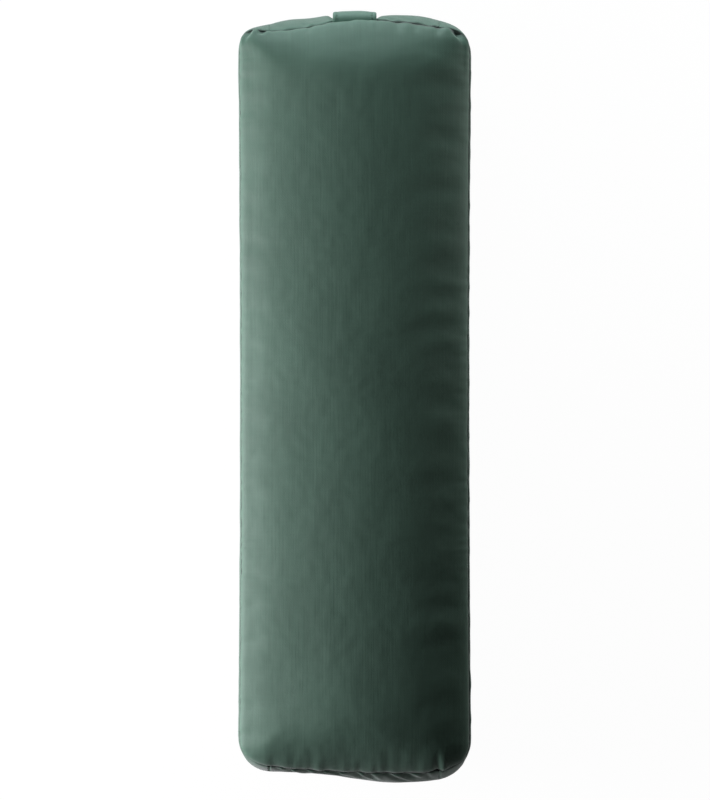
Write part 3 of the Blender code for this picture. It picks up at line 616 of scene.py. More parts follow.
def squared(x, y):
    """The corners are not alike: at the handle end the filling pushes them out squarer."""
    qx, qy = past_straight(x, y)
    power = np.where(y > 0, np.where(x < 0, 4.0, 2.9), np.where(x < 0, 2.25, 2.0))
    turn = np.arctan2(np.maximum(qy, 0), np.maximum(qx, 1e-9))
    grow = (np.cos(turn) ** power + np.sin(turn) ** power) ** (-1 / power)
    corner = (qx > 0) & (qy > 0)
    moved_x = np.where(corner, np.sign(x) * (STRAIGHT_X + qx * grow), x)
    return moved_x, np.where(corner, np.sign(y) * (STRAIGHT_Y + qy * grow), y)


def corner_tuck(x):
    """How far the face seam is drawn in at the plain end's corners, where the band rolls out."""
    return 0.0008 * bell(x, -0.088, 0.017) + 0.0026 * bell(x, 0.086, 0.015)


def bowed(x, y, level):
    """A flat place moved to its real place: sides draw in, ends bow and sit a little askew."""
    x, y = squared(x, y)
    along, across = np.minimum(1, np.abs(y) / HALF_LENGTH), np.abs(x) / HALF_WIDTH
    bow = np.where(y > 0, HANDLE_BOW, PLAIN_BOW) * across**2 * along**6
    # The handle end's left corner is the fullest of the four
    full = (y > 0) & (x < 0)
    bow = bow - LEFT_CORNER_FULL * full * smooth_step(0.072, 0.098, np.abs(x)) * along**6
    handle_askew = np.where(x < 0, HANDLE_ASKEW * x / ASKEW_AT, 0)
    askew = np.where(y < 0, -PLAIN_ASKEW * x / ASKEW_AT, handle_askew) * along**6
    askew = askew + corner_tuck(x) * (y < 0) * along**8 * (level > 0) * level
    # The face is cut square at the handle end, and reaches further out at its corners
    square = np.where(x > 0, SQUARE_RIGHT, SQUARE_LEFT) * smooth_step(0.070, 0.092, np.abs(x))
    square = (square + np.interp(x * 1000, *zip(*SEAM_ARCH)) / 1000) * (y > 0)
    square = square * along**10 * max(level, 0.0) ** 3
    moved_x = x + np.sign(x) * WAIST * along**2 * across
    return moved_x, y - np.sign(y) * bow + askew * (0.5 + 0.5 * level) + square + SHIFT_Y


def dents(place, depth_in, rows, slant=0.12, start=0.35, full_at=0.012, wide=1.0):
    """Puckers that run in from a seam: place along it and distance in from it, in metres."""
    total = np.zeros_like(place)
    for k, (middle, depth, width, reach) in enumerate(rows):
        lean = slant * (1 if k % 3 else -1)
        off = (place - middle / 1000 - lean * depth_in) / (width * wide / 1000)
        rise = start + (1 - start) * smooth_step(0.0, min(full_at, reach / 2500), depth_in)
        fall = 1 - smooth_step(0.35, 1.0, depth_in / (reach / 1000))
        pucker = bell(off, 0, 1) - 0.22 * bell(np.abs(off), 2.1, 0.8)
        total += depth / 1000 * pucker * rise * fall
    return total


def end_bulge(x, handle):
    """How far an end band stands out at its middle."""
    away = np.abs(x)
    full = END_BULGE * (1 - 0.6 * np.minimum(1, away / HALF_WIDTH) ** 3)
    if handle:
        full = full + 0.0018 * bell(away, 0.060, 0.018)
        full = full + 0.0026 * smooth_step(0.018, 0.040, x) * smooth_step(0.1, 0.085, x)
        # The band stands up against the strap's edges, more on the left
        full = full + np.where(x < 0, BESIDE_LEFT, BESIDE_RIGHT) * bell(away, 0.0225, 0.009)
        return full - STRAP_DIMPLE * (1 - smooth_step(STRAP_SIDE, STRAP_CLEAR, away))
    full = full + 0.0046 * (x / 0.05) * bell(x, 0, 0.07) - 0.0008
    full = full + 0.0020 * bell(x, -0.088, 0.017)
    return full - 0.0030 * bell(x, -0.022, 0.040) + 0.8 * corner_tuck(x)


def wobble(x, y, away):
    """The end seams wander where the gathers pull at them."""
    seam = 0.0007 * np.sin(x * math.tau / 0.023 + 1) + 0.0005 * np.sin(x * math.tau / 0.0137)
    end = smooth_step(HALF_LENGTH - 0.030, HALF_LENGTH - 0.005, np.abs(y))
    return seam * np.where(y < 0, 1.0, 0.6) * end * np.exp(-away / 0.007)


def end_folds(x, under, handle):
    """Slanting folds down an end band, from the gathers in its top seam."""
    total = np.zeros_like(x)
    for middle, deep, wide in HANDLE_FOLDS if handle else PLAIN_FOLDS:
        lean = -0.25 if handle else 0.62 - 0.28 * math.sin(middle * 1.7)
        off = (x - middle / 1000 - lean * under) / (wide * (0.75 + 12 * under) / 1000)
        reach = 0.026 + 0.014 * math.sin(middle * 2.9)
        fold = bell(off, 0, 1) - 0.35 * bell(off, 2, 1)
        total += deep * 1.35 / 1000 * fold * (1 - smooth_step(0.3 * reach, reach, under))
    return total * smooth_step(0.0, 0.002, under)


def zip_run(y):
    """1 along the zip, 0 past its ends."""
    return 1 - np.clip((np.abs(y) - ZIP_REACH) / ZIP_BLEND, 0, 1)


def near_seam(under):
    """1 a few millimetres from a seam, 0 at it and further than 30 mm away."""
    return (1 - smooth_step(0.004, 0.030, under)) * smooth_step(0.0, 0.006, under)


def rim(gx, gy, push):
    """A panel's edge in order: points, flat places, way along it, real places, ways out."""
    index = np.arange(gx.size).reshape(gx.shape)
    ring = np.concatenate([index[0, :-1], index[:-1, -1], index[-1, :0:-1], index[:0:-1, 0]])
    bx, by = gx.ravel()[ring], gy.ravel()[ring]
    arc = np.concatenate([[0], np.cumsum(np.hypot(np.diff(bx), np.diff(by)))])
    sx, sy = bowed(bx, by, 0.0)
    sx = sx + push.ravel()[ring]
    step_x, step_y = np.roll(sx, -1) - np.roll(sx, 1), np.roll(sy, -1) - np.roll(sy, 1)
    long = np.hypot(step_x, step_y)
    return ring, bx, by, arc, sx, sy, step_y / long, -step_x / long


def sheet_heights(gx, gy, share, depth, sizes):
    """How high the face lies and the back hangs, with their puckers."""
    # Towards the plain end the filling lies rounder, and heaped a little to the right
    heaped = smooth_step(0.06, -0.16, gy)
    height = crown(share, 2.0) + heaped * (crown(share, 1.8) - crown(share, 2.0))
    part_way = gx / HALF_WIDTH
    height = height + HEAP * heaped * part_way * (1 - part_way**2) * (1 - share**4)
    lumps = cloudy_panel(gx, gy, 0, 0.085, 1)
    face_z = HIGH_SEAM + sizes.face_crown * height + LUMPS * lumps * height - 0.0006 * height
    right = dents(gy, HALF_WIDTH - gx, RIGHT_PUCKERS, 0.10, 0.12, 0.020, 1.6)
    right = right * 0.62 * smooth_step(0.01, 0.05, gx)
    left = dents(gy, HALF_WIDTH + gx, LEFT_PUCKERS) * smooth_step(0.02, 0.06, -gx)
    face_z -= (right + left) * (smooth_step(0, 0.002, depth) * 0.8 + 0.2)
    fall = back_fall(share, sizes)
    back_dents = dents(gy, HALF_WIDTH - np.abs(gx), RIGHT_PUCKERS[::-1]) * 0.6
    return face_z, LOW_SEAM - fall + back_dents * np.clip(1 - (fall / LOW_SEAM) ** 3, 0, 1)


def sheet_faces(gx, gy, ids, bx, by, arc, flat_end):
    """The sheet's quads, the panel that each belongs to, and its place on the flat cloth."""
    faces, tags, cuts = [], [], []
    rows, columns = gx.shape
    for j in range(rows - 1):
        for i in range(columns - 1):
            quad = [(j, i), (j, i + 1), (j + 1, i + 1), (j + 1, i)]
            both = (("face", quad, 0, 0.0), ("back", quad[::-1], gx.size, BACK_CUT))
            for tag, corners, first, beside in both:
                faces.append([c[0] * columns + c[1] + first for c in corners])
                tags.append(tag)
                cuts.append([(gx[c] + beside, gy[c]) for c in corners])
    total = arc[-1] + math.hypot(bx[0] - bx[-1], by[0] - by[-1])
    for k in range(len(bx)):
        m = (k + 1) % len(bx)
        a, b = arc[k], (arc[m] if m else total)
        if flat_end[k] and flat_end[m] and by[k] * by[m] > 0:
            part = "handle_end" if by[k] > 0 else "plain_end"
        else:
            part = "left" if bx[k] + bx[m] < 0 else "right"
        for r in range(len(LEVELS) - 1):
            tag = part
            if part == "right":
                tag = "zip_upper" if r < FOLD_ROWS[0] else "zip_lower"
                if FOLD_ROWS[0] <= r < FOLD_ROWS[1]:
                    tag = "gap"
            faces.append([ids[r, k], ids[r + 1, k], ids[r + 1, m], ids[r, m]])
            tags.append(tag)
            top, low = LEVELS[r] * BAND_HALF, LEVELS[r + 1] * BAND_HALF
            cuts.append([(top, a), (low, a), (low, b), (top, b)])
    return np.array(faces), tags, cuts


def cover_shell(sizes):
    """The whole cover as one sheet: points, faces, the panel each face belongs to, and its cut."""
    gx, gy = panel_grid()
    size = gx.size
    share, depth = edge_share(gx, gy), inside(gx, gy)
    face_z, back_z = sheet_heights(gx, gy, share, depth, sizes)
    # The zip's side stands out a little further than the left one
    push = ZIP_SIDE_PUSH * smooth_step(0.070, 0.100, gx)
    top_x, top_y = bowed(gx, gy, 1.0)
    low_x, low_y = bowed(gx, gy, -1.0)
    # On the left the panel rolls out over its seam, unevenly between the gathers
    roll = bell(depth, 0.0045, 0.0035) * smooth_step(0.06, 0.10, -gx)
    top_x = top_x + push - roll * (LEFT_ROLL - 0.9 * dents(gy, PUCKER_DEPTH, LEFT_PUCKERS, 0.0))
    top_y = top_y + wobble(gx, gy, depth)
    sheets = ((top_x, top_y, face_z), (low_x + push, low_y, back_z))
    points = [np.stack([values.ravel() for values in sheet], 1) for sheet in sheets]

    ring, bx, by, arc, sx, _, nx, ny = rim(gx, gy, push)
    count = len(ring)
    flat_end = np.abs(np.abs(by) - HALF_LENGTH) < 1e-6
    past_corner = (bx > 0) & ~flat_end
    on_right = past_corner | (np.abs(bx - STRAIGHT_X) < 1e-5)
    end_part = ny * ny
    bulge = np.where(by > 0, end_bulge(bx, True), end_bulge(bx, False))
    side_bulge = np.where(bx < 0, SIDE_BULGE - 0.0006, SIDE_BULGE - 0.0012)
    bulge = side_bulge + (bulge - side_bulge) * end_part
    long_side = np.clip(1 - end_part * 3, 0, 1)
    left_puckers = dents(by, PUCKER_DEPTH, LEFT_PUCKERS, 0.0) * 1.5
    puckers = np.where(bx > 0, dents(by, PUCKER_DEPTH, RIGHT_PUCKERS, 0.0), left_puckers)
    # Past the zip's ends its two side bands are sewn together
    run = zip_run(by) * on_right
    fold = SEWN_FOLD + (ZIP_HALF_OPENING / BAND_HALF - SEWN_FOLD) * run
    ids = np.zeros((len(LEVELS), count), int)
    ids[0], ids[-1] = ring, ring + size
    for r in range(1, len(LEVELS) - 1):
        level = np.full(count, LEVELS[r], float)
        side = math.copysign(1, LEVELS[r]) if LEVELS[r] else 0
        if side:
            moved = fold + (abs(LEVELS[r]) - 0.1) * (1 - fold) / 0.9
            level = np.where(on_right, side * moved, level)
        out = bulge * (1 - np.abs(level) ** 2.3)
        # Beside the zip the cloth rolls in to its folded edge
        from_fold = np.abs(level) - fold
        reach = np.clip(1 - from_fold / 0.26, 0, 1) * run
        out = out - (out + np.maximum(sx, 0.05) - FOLD_X) * reach**1.6 * (side != 0)
        shallow = np.clip(1 - from_fold / 0.10, 0, 1) * (past_corner & (run == 0))
        out = out - 0.0016 * shallow**1.5
        under, over = (1 - LEVELS[r]) * BAND_HALF, (1 + LEVELS[r]) * BAND_HALF
        out -= puckers * 0.55 * near_seam(under) * long_side
        out -= np.roll(puckers, 5) * 0.5 * near_seam(over) * long_side
        mx, my = bowed(bx, by, LEVELS[r])
        mx, my = mx + push.ravel()[ring], my + wobble(bx, by, under)
        points.append(np.stack([mx + nx * out, my + ny * out, MIDDLE + level * BAND_HALF], 1))
        ids[r] = (2 * size) + (r - 1) * count + np.arange(count)
    faces, tags, cuts = sheet_faces(gx, gy, ids, bx, by, arc, flat_end)
    place = {"ids": ids, "bx": bx, "by": by, "right": on_right, "size": size}
    return np.concatenate(points), faces, tags, cuts, place


def held(points, place):
    """How firmly each point is held: seams and folds fully, the open cloth loosely."""
    ids, size, right = place["ids"], place["size"], place["right"]
    hold = np.full(len(points), OPEN_HOLD)
    hold[ids[1:-1].ravel()] = BAND_HOLD
    hold[size : 2 * size][points[size : 2 * size, 2] < 0.0008] = 1.0
    hold[ids[0]] = hold[ids[-1]] = 1.0
    hold[ids[1]] = hold[ids[-2]] = NEAR_HOLD
    for r, firm in ((10, 1.0), (11, 1.0), (12, 1.0), (9, NEAR_HOLD), (13, NEAR_HOLD)):
        hold[ids[r][right]] = firm
    hold[ids[:, np.abs(np.abs(place["bx"]) - STRAIGHT_X) < 1e-5]] = 1.0
    return hold


def settle(points, faces, tags, place, sizes):
    """Let the cloth find its folds: the cover is blown up softly, held at its seams."""
    mesh = bpy.data.meshes.new("cloth_settling")
    kept = faces[[tag != "gap" for tag in tags]]
    mesh.from_pydata(points.tolist(), [], kept.tolist())
    obj = linked("cloth_settling", mesh)
    hold = held(points, place)
    group = obj.vertex_groups.new(name="hold")
    for value in np.unique(hold):
        group.add(np.flatnonzero(hold == value).tolist(), float(value), "REPLACE")
    obj.shape_key_add(name="Basis")
    cut = obj.shape_key_add(name="cut")
    full = 1 + sizes.fullness
    larger = points * np.array([1 + sizes.fullness * 0.4, full, full])
    cut.data.foreach_set("co", larger.astype(np.float32).ravel())
    cut.value = 0.0
    cloth = obj.modifiers.new("settle", "CLOTH")
    wanted = {
        "quality": 5,
        "mass": 0.25,
        "air_damping": 2.0,
        "tension_stiffness": 12,
        "compression_stiffness": 12,
        "shear_stiffness": 4,
        "bending_stiffness": 0.25,
        "use_pressure": True,
        "uniform_pressure_force": 4.0,
        "vertex_group_mass": "hold",
        "pin_stiffness": 1.0,
        "rest_shape_key": cut,
    }
    for key, value in wanted.items():
        setattr(cloth.settings, key, value)
    cloth.settings.effector_weights.gravity = 0.0
    cloth.collision_settings.use_collision = False
    cloth.collision_settings.use_self_collision = False
    cloth.point_cache.frame_start, cloth.point_cache.frame_end = 1, SETTLE_STEPS
    for step in range(1, SETTLE_STEPS + 1):
        bpy.context.scene.frame_set(step)
    graph = bpy.context.evaluated_depsgraph_get()
    moved = vectors(obj.evaluated_get(graph).data.vertices, "co")
    bpy.context.scene.frame_set(1)
    bpy.data.objects.remove(obj, do_unlink=True)
    return moved


def softened(change, faces, keep_share):
    """Average a movement with its neighbours' so that no single point stands out."""
    pairs = np.concatenate([faces[:, [a, (a + 1) % 4]] for a in range(4)])
    total, count = np.zeros_like(change), np.zeros(len(change))
    for here, there in (pairs.T, pairs.T[::-1]):
        np.add.at(total, here, change[there])
        np.add.at(count, here, 1)
    mean = total / np.maximum(count, 1)[:, None]
    return change * keep_share + mean * (1 - keep_share)


def settled_cover(sizes):
    """Points of the cover after the cloth has settled, with its faces and panels."""
    points, faces, tags, cuts, place = cover_shell(sizes)
    change = softened(settle(points, faces, tags, place, sizes) - points, faces, 0.4)
    far = np.linalg.norm(change, axis=1)
    size = place["size"]
    cap = np.full(len(points), BAND_CAP)
    cap[:size] = sizes.move_cap
    cap[size : 2 * size] = sizes.move_cap * BACK_CAP_SHARE
    change *= (cap * np.tanh(far / cap) / np.maximum(far, 1e-9))[:, None]
    change[place["ids"][[0, -1]]] = 0
    points = points + change
    points[:, 2] = np.clip(points[:, 2], 0.0, FACE_TOP)
    return points, faces, tags, cuts, place


def sheet_normals(points, faces):
    a, b, c, d = (points[faces[:, k]] for k in range(4))
    flat = np.cross(c - a, d - b)
    total = np.zeros_like(points)
    for k in range(4):
        np.add.at(total, faces[:, k], flat)
    return total / np.maximum(np.linalg.norm(total, axis=1), 1e-12)[:, None]


def open_edges(quads, corner_cuts):
    """The rim of a patch: its edges with one face only, each with its ends' flat places."""
    edges = {}
    for quad, cut in zip(quads, corner_cuts):
        for k, m in ((0, 1), (1, 2), (2, 3), (3, 0)):
            edge = (quad[k], quad[m], cut[k], cut[m])
            edges.setdefault(frozenset(edge[:2]), []).append(edge)
    return {pair: hits[0] for pair, hits in edges.items() if len(hits) == 1}


def creased(mesh, rim_edges, crisp, shared):
    """Keep a band's rim crisp where it meets the next band edge to edge."""
    crease = mesh.attributes.new("crease_edge", "FLOAT", "EDGE")
    for edge in mesh.edges:
        if frozenset(edge.vertices) in rim_edges and crisp.issuperset(edge.vertices):
            crease.data[edge.index].value = 1.0
    corners = mesh.attributes.new("crease_vert", "FLOAT", "POINT")
    for local in crisp:
        corners.data[local].value = float(shared[local] == 1)


def panel(name, part, shell, normals, sink):
    """One panel or band of the cover, its edges turned down into the seams."""
    points, faces, tags, cuts, place = shell
    chosen = [k for k, tag in enumerate(tags) if tag == part]
    own = sheet_normals(points, faces[chosen])
    used, local_faces = np.unique(faces[chosen], return_inverse=True)
    quads = local_faces.reshape(-1, 4).tolist()
    corner_cuts = [cuts[k] for k in chosen]
    shared = np.bincount(local_faces.ravel())
    verts = [Vector(points[i]) for i in used]
    rim_edges = open_edges(quads, corner_cuts)
    ids, by_strap = place["ids"], (place["by"] > 0) & (np.abs(place["bx"]) < 0.0212)
    folds = set(ids[list(FOLD_ROWS)][:, place["right"]].ravel().tolist())
    under_strap = set(ids[[0, -1]][:, by_strap].ravel().tolist())
    crisp, chains = set(), {}
    for local in sorted(set().union(*rim_edges)):
        old = int(used[local])
        p, n, mine = Vector(points[old]), Vector(normals[old]), Vector(own[old]).normalized()
        if part.startswith("zip") and old in folds:
            # Beside the zip the edge is folded back behind the cloth
            side = 1 if part == "zip_upper" else -1
            run = float(zip_run(p.y - SHIFT_Y))
            if run == 0:
                crisp.add(local)
            lip = FOLD_LIP * run + 0.00005
            steps = [(0.0006, -lip), (0.0014, -lip)] + FOLD_BACK
            chains[local] = [p + Vector((-dx, 0, side * dz)) for dx, dz in steps]
            continue
        toward = (mine - n * mine.dot(n)).normalized() if mine.dot(n) < 0.9999 else mine
        upright = LOW_SEAM + 0.001 < p.z < HIGH_SEAM - 0.001
        if upright or abs(abs(p.x) - STRAIGHT_X) < 0.003:
            crisp.add(local)
        sunk, inset, first = (sink * 0.06, 0.00003, 0.0003) if upright else (sink, 0.00018, 0.0016)
        seat = p - n * sunk + toward * inset
        if old in under_strap and part == "handle_end":
            seat.z += -0.0030 if p.z > MIDDLE else 0.0030
        verts[local] = seat
        chains[local] = [seat - n * deep + toward * 0.0001 for deep in (first, 0.0045)]
    steps = max(len(chain) for chain in chains.values())
    new_at = {}
    for local, chain in chains.items():
        while len(chain) < steps:
            chain.append(chain[-1] + (chain[-1] - chain[-2]) * 0.35)
        new_at[local] = [local, *range(len(verts), len(verts) + steps)]
        verts += chain
    for a, b, cut_a, cut_b in rim_edges.values():
        for s in range(steps):
            quads.append([new_at[b][s], new_at[a][s], new_at[a][s + 1], new_at[b][s + 1]])
            corner_cuts.append([cut_b, cut_a, cut_a, cut_b])
    obj = mesh_object(name, verts, quads, material("woven_cotton_cover"), corner_cuts, True)
    # Bands meet edge to edge at their upright seams and past the zip
    if part not in ("face", "back"):
        creased(obj.data, rim_edges, crisp, shared)
    return subdivided(obj, 2 if part == "face" or part.endswith("end") else 1)


def end_puckers(x, y, depth):
    """Short puckers where the face meets the end bands, and a pleat near one corner."""
    handle = smooth_step(HALF_LENGTH - 0.055, HALF_LENGTH - 0.030, y)
    plain_end = smooth_step(HALF_LENGTH - 0.070, HALF_LENGTH - 0.035, -y)
    total = dents(x, depth, HANDLE_PUCKERS, 0.05, 0.8) * handle
    total += dents(x, depth, PLAIN_PUCKERS, 0.05, 0.6) * plain_end
    pleat = 0.0016 * bell(x, PLEAT_X, 0.0024) - 0.0009 * bell(x, PLEAT_X + 0.0060, 0.0028)
    return total + pleat * smooth_step(0.024, 0.002, depth) * plain_end


def seam_wear_and_shade(part, co, depth, wave):
    """Shares of rubbed cloth and of painted shade beside the seams."""
    within = np.clip(depth, 0, None)
    rubbed = 0.35 * bell(depth, 0.0025, 0.002) * (0.6 + 0.4 * wave)
    # Painted shade: the cloth is darkened down in the seams, where shadow falls
    painted_seam_shade = bell(within, 0, 0.0011)
    px, py = co[:, 0], co[:, 1]
    if part in ("face", "handle_end"):
        # No painted seam shade where the strap lies over it
        painted_seam_shade *= np.where(py > 0.3, smooth_step(0.019, 0.022, np.abs(px)), 1.0)
        # The handle end's seam is drawn in tighter on one side, and its painted shade is darkest
        # there
        tight = smooth_step(0.020, 0.040, px) * smooth_step(0.30, 0.32, py)
        slack = smooth_step(-0.016, -0.024, px) * smooth_step(-0.078, -0.070, px)
        painted_seam_shade *= 1 - 0.6 * slack * (py > 0.3)
        painted_seam_shade = np.maximum(painted_seam_shade, tight * bell(within, 0, 0.0017))
    if part == "face":
        # Painted shadow: near-black spots in the deep tucks at the handle end
        for at, wide in TUCK_SHADE_SPOTS:
            off = np.hypot(px - at, depth * 1.5)
            painted_seam_shade = np.maximum(painted_seam_shade, (py > 0.28) * np.exp(-((off / wide) ** 4)))
    return np.clip(rubbed, 0, 1), painted_seam_shade


def seam_gathers(obj, part):
    """Small gathers beside the seams, where the stitching draws the cloth in."""
    mesh, flat_panel = obj.data, part in ("face", "back")
    cut, co = vertex_cut(mesh), vectors(mesh.vertices, "co")
    if flat_panel:
        x, y = cut[:, 0] - (BACK_CUT if part == "back" else 0.0), cut[:, 1]
        depth = inside(x, y)
        along = np.where(HALF_WIDTH - np.abs(x) < HALF_LENGTH - np.abs(y), y, x + 0.3)
    else:
        depth, along = BAND_HALF - np.abs(cut[:, 0]), cut[:, 1]
    wander = along + 0.004 * np.sin(along * 41.0) + 0.0025 * np.sin(along * 97.0 + 1.0)
    wave = np.sin(wander * math.tau / GATHER_SHORT) * 0.6
    wave = wave + np.sin(wander * math.tau / GATHER_LONG + 2.0) * 0.4
    strength = 0.5 + 0.5 * np.sin(along * 23.0 + 0.7) * np.sin(along * 9.1)
    near = np.exp(-np.clip(depth, 0, None) / 0.0065) * smooth_step(-0.0005, 0.0022, depth)
    lift = GATHER_HEIGHT * wave * strength * near
    lift += 0.00016 * cloudy(co, 0.009, 3) + 0.00030 * cloudy(co, 0.028, 4)
    inner = smooth_step(0.0, 0.002, depth)
    away = np.abs(co[:, 0])
    if part == "face":
        lift -= end_puckers(x, y, depth)
        inner = smooth_step(-0.001, 0.0012, depth)
    if part.endswith("end"):
        handle = part == "handle_end"
        folds = end_folds(co[:, 0], HIGH_SEAM - co[:, 2], handle)
        folds += end_folds(-co[:, 0] - 0.007, co[:, 2] - LOW_SEAM, handle) * 0.3
        lift -= folds * smooth_step(STRAIGHT_X, STRAIGHT_X - 0.010, away)
        if handle:
            inner = inner * smooth_step(0.020, 0.026, away)
    if not flat_panel:
        # Neighbouring bands stay level with each other at their upright seams
        calm = smooth_step(0.0004, 0.004, np.abs(away - STRAIGHT_X))
        inner = inner * np.where(np.abs(co[:, 1]) > 0.31, calm, 1.0)
    co += vectors(mesh.vertex_normals, "vector") * (lift * inner)[:, None]
    if part == "back":
        co[:, 2] = np.maximum(co[:, 2], 0.00002)
    mesh.vertices.foreach_set("co", co.astype(np.float32).ravel())
    # Rubbed wear, and painted shade in the seams, kept for the cloth's material
    for name, values in zip(("rubbed", "painted_seam_shade"), seam_wear_and_shade(part, co, depth, wave)):
        made = mesh.attributes.new(name, "FLOAT", "POINT")
        made.data.foreach_set("value", values.astype(np.float32))
    mesh.update()


class BOLSTER_OT_cover(bpy.types.Operator):
    """Make the cotton cover: face, back, side bands and end bands, with their seams."""

    bl_idname = "bolster.cover"
    bl_label = "Cotton cover"

    def execute(self, context):
        sizes, _ = settings()
        shell = settled_cover(sizes)
        points, faces, tags = shell[:3]
        normals = sheet_normals(points, faces[[tag != "gap" for tag in tags]])
        for name, part, cad in PANELS:
            obj = panel(name, part, shell, normals, sizes.seam_sink)
            seam_gathers(obj, part)
            stand_in(obj, cad)
        return {"FINISHED"}


# ---------------------------------------------------------------- strap handle


def mirrored(z, upper):
    """The strap's lower half is the upper one turned over."""
    return z if upper else 2 * MIDDLE - z


def strap_line(upper, tail):
    """Middle line of the strap from its tail in a seam to mid height: out and up."""
    start = STRAP_START if upper else 0.0
    line = [(start - tail, STRAP_DROP), (start - 0.004, STRAP_DROP), (start, STRAP_DROP)]
    for k in range(1, 11):
        turn = math.radians(8.6 * k)
        z = STRAP_DROP - STRAP_FALL * (1 - math.cos(turn))
        line.append((start + (STRAP_OUT - 0.0003 - start) * math.sin(turn) ** 0.85, z))
    line = np.array(line + [(STRAP_OUT, MIDDLE + 0.006), (STRAP_OUT, MIDDLE)])
    along = np.concatenate([[0], np.cumsum(np.hypot(*np.diff(line, axis=0).T))])
    # Points at an even step, then smoothed
    places = np.linspace(0, along[-1], max(2, round(along[-1] / 0.0022)) + 1)
    fine = np.stack([np.interp(places, along, line[:, k]) for k in (0, 1)], 1)
    for _ in range(3):
        fine[1:-1] = fine[1:-1] * 0.5 + (fine[:-2] + fine[2:]) * 0.25
    return fine, places


def strap_profile(half, thick, channel):
    """Half outlines across a strap: place across and height over its middle, top side."""
    marks = [(-half, 0.0), (-half + 0.0003, 0.55), (-half + 0.0011, 0.93), (-half + 0.0024, 1.0)]
    if channel:
        seam = channel - half
        marks += [(seam - 0.0011, 1.0), (seam, 0.62), (seam + 0.0011, 1.0)]
    marks += [(-half * 0.5, 1.03), (-half * 0.25, 1.0), (0.0, 1.0)]
    marks += [(-x, h) for x, h in reversed(marks[:-1])]
    return [(x, h * thick / 2) for x, h in marks]


def strap_half_piece(name, upper, half, thick, channel, look, tail):
    line, places = strap_line(upper, tail)
    profile = strap_profile(half, thick, channel)
    rings = [(x, h, 1) for x, h in profile] + [(x, -h, -1) for x, h in reversed(profile[1:-1])]
    sections, cuts = [], []
    for k, at in enumerate(places):
        along = line[min(len(line) - 1, k + 1)] - line[max(0, k - 1)]
        t = along / np.hypot(*along)
        side = np.array([-t[1], t[0]])
        relax = smooth_step(0.012, 0.030, at)
        calm = 1 - smooth_step(0.020, 0.0, places[-1] - at)
        section = []
        for x, h, face in rings:
            wave = 0.00022 * math.sin(at * 190 + x * 120) + 0.00018 * math.sin(at * 83 - x * 260)
            wide = x * (1 + 0.012 * calm * math.sin(at * 60 + (1 if x > 0 else 3)))
            bow = HANDLE_BOW * (x / HALF_WIDTH) ** 2
            cup = -STRAP_CUP * abs(x / half) ** 3 * relax
            p = line[k] + side * (h + (wave * calm + cup) * relax)
            section.append((wide, HALF_LENGTH - bow + p[0] + SHIFT_Y, mirrored(p[1], upper)))
            cuts.append((x * face, at if upper else 0.3 - at))
        sections.append(section)
    # The halves meet at mid height with the same outline, open, so that no line shows there
    verts, faces = strip(sections, caps=False)
    obj = outward(mesh_object(name, verts, faces, look, cuts))
    return subdivided(obj), line, places


class BOLSTER_OT_strap(bpy.types.Operator):
    """Make the carry handle: a folded cotton strap with topstitched edges and a webbing core."""

    bl_idname = "bolster.strap"
    bl_label = "Carry handle"

    def execute(self, context):
        sizes, _ = settings()
        half = sizes.strap_width / 2
        cotton, webbing = material("woven_cotton_strap"), material("polypropylene_webbing")
        for tag, upper in (("upper", True), ("lower", False)):
            shape = (upper, half, STRAP_THICK, STITCH_INSET, cotton, STRAP_TAIL)
            strap, line, places = strap_half_piece("handle_strap_" + tag, *shape)
            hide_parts("carry_handle")
            shape = (upper, half - CORE_INSET, CORE_THICK, 0.0, webbing, STRAP_TAIL - 0.0003)
            core, _, _ = strap_half_piece("handle_core_" + tag, *shape)
            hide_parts("handle_webbing")
            seats = self.seats(upper, half, line, places, sizes.stitch)
            sewn = stitches("handle_stitches_" + tag, seats, sizes.stitch, STRAP_THREAD)
            for piece in (strap, core, sewn):
                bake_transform(piece)
        return {"FINISHED"}

    def seats(self, upper, half, line, places, stitch):
        """Where the topstitches sit, along both edges."""
        seats = []
        for x in (STITCH_INSET - half, half - STITCH_INSET):
            for k in range(2, int(places[-1] / stitch)):
                at = k * stitch
                p, q = (
                    [float(np.interp(there, places, line[:, c])) for c in (0, 1)]
                    for there in (at, at + 0.0005)
                )
                t = Vector((q[0] - p[0], q[1] - p[1])).normalized()
                relax = float(smooth_step(0.012, 0.030, at))
                out = STRAP_THICK / 2 * 0.82 - STRAP_CUP * abs(x / half) ** 3 * relax
                bow = HANDLE_BOW * (x / HALF_WIDTH) ** 2
                y = HALF_LENGTH - bow + p[0] - t.y * out + SHIFT_Y
                z = mirrored(p[1] + t.x * out, upper)
                sign = 1 if upper else -1
                seats.append(((x, y, z), (0, t.x, t.y * sign), (0, -t.y, t.x * sign)))
        return seats


# ---------------------------------------------------------------- zip


def ribbon(name, side, look):
    """One zip tape: a thin woven strip with a corded edge beside the teeth."""
    reach, count = ZIP_REACH + ZIP_BLEND / 2, 150
    back = TAPE_EDGE + TAPE_WIDTH
    sections, cuts = [], []
    for k in range(count + 1):
        y = -reach + 2 * reach * k / count
        closing = smooth_step(CHAIN_HALF_LENGTH + 0.0055, CHAIN_HALF_LENGTH + 0.010, abs(y))
        edge = TAPE_EDGE - (TAPE_EDGE - 0.0003) * float(closing)
        wave = 0.00010 * math.sin(y * 160) * (1 - float(closing))
        cord = ((0.0, 0.0), (0.0001, 0.00032), (0.0006, 0.00042), (0.0011, 0.00028))
        marks = [(edge + z, h) for z, h in cord]
        marks += [(edge + (back - edge) * t, 0.00026) for t in (0.3, 0.6, 0.9)] + [(back, 0.0)]
        loop = marks + [(z, -h) for z, h in reversed(marks[1:-1])]
        sections.append([(TAPE_X + h + wave, y + SHIFT_Y, MIDDLE + side * z) for z, h in loop])
        cuts += [(z, y) for z, h in loop]
    return outward(mesh_object(name, *strip(sections), look, cuts))


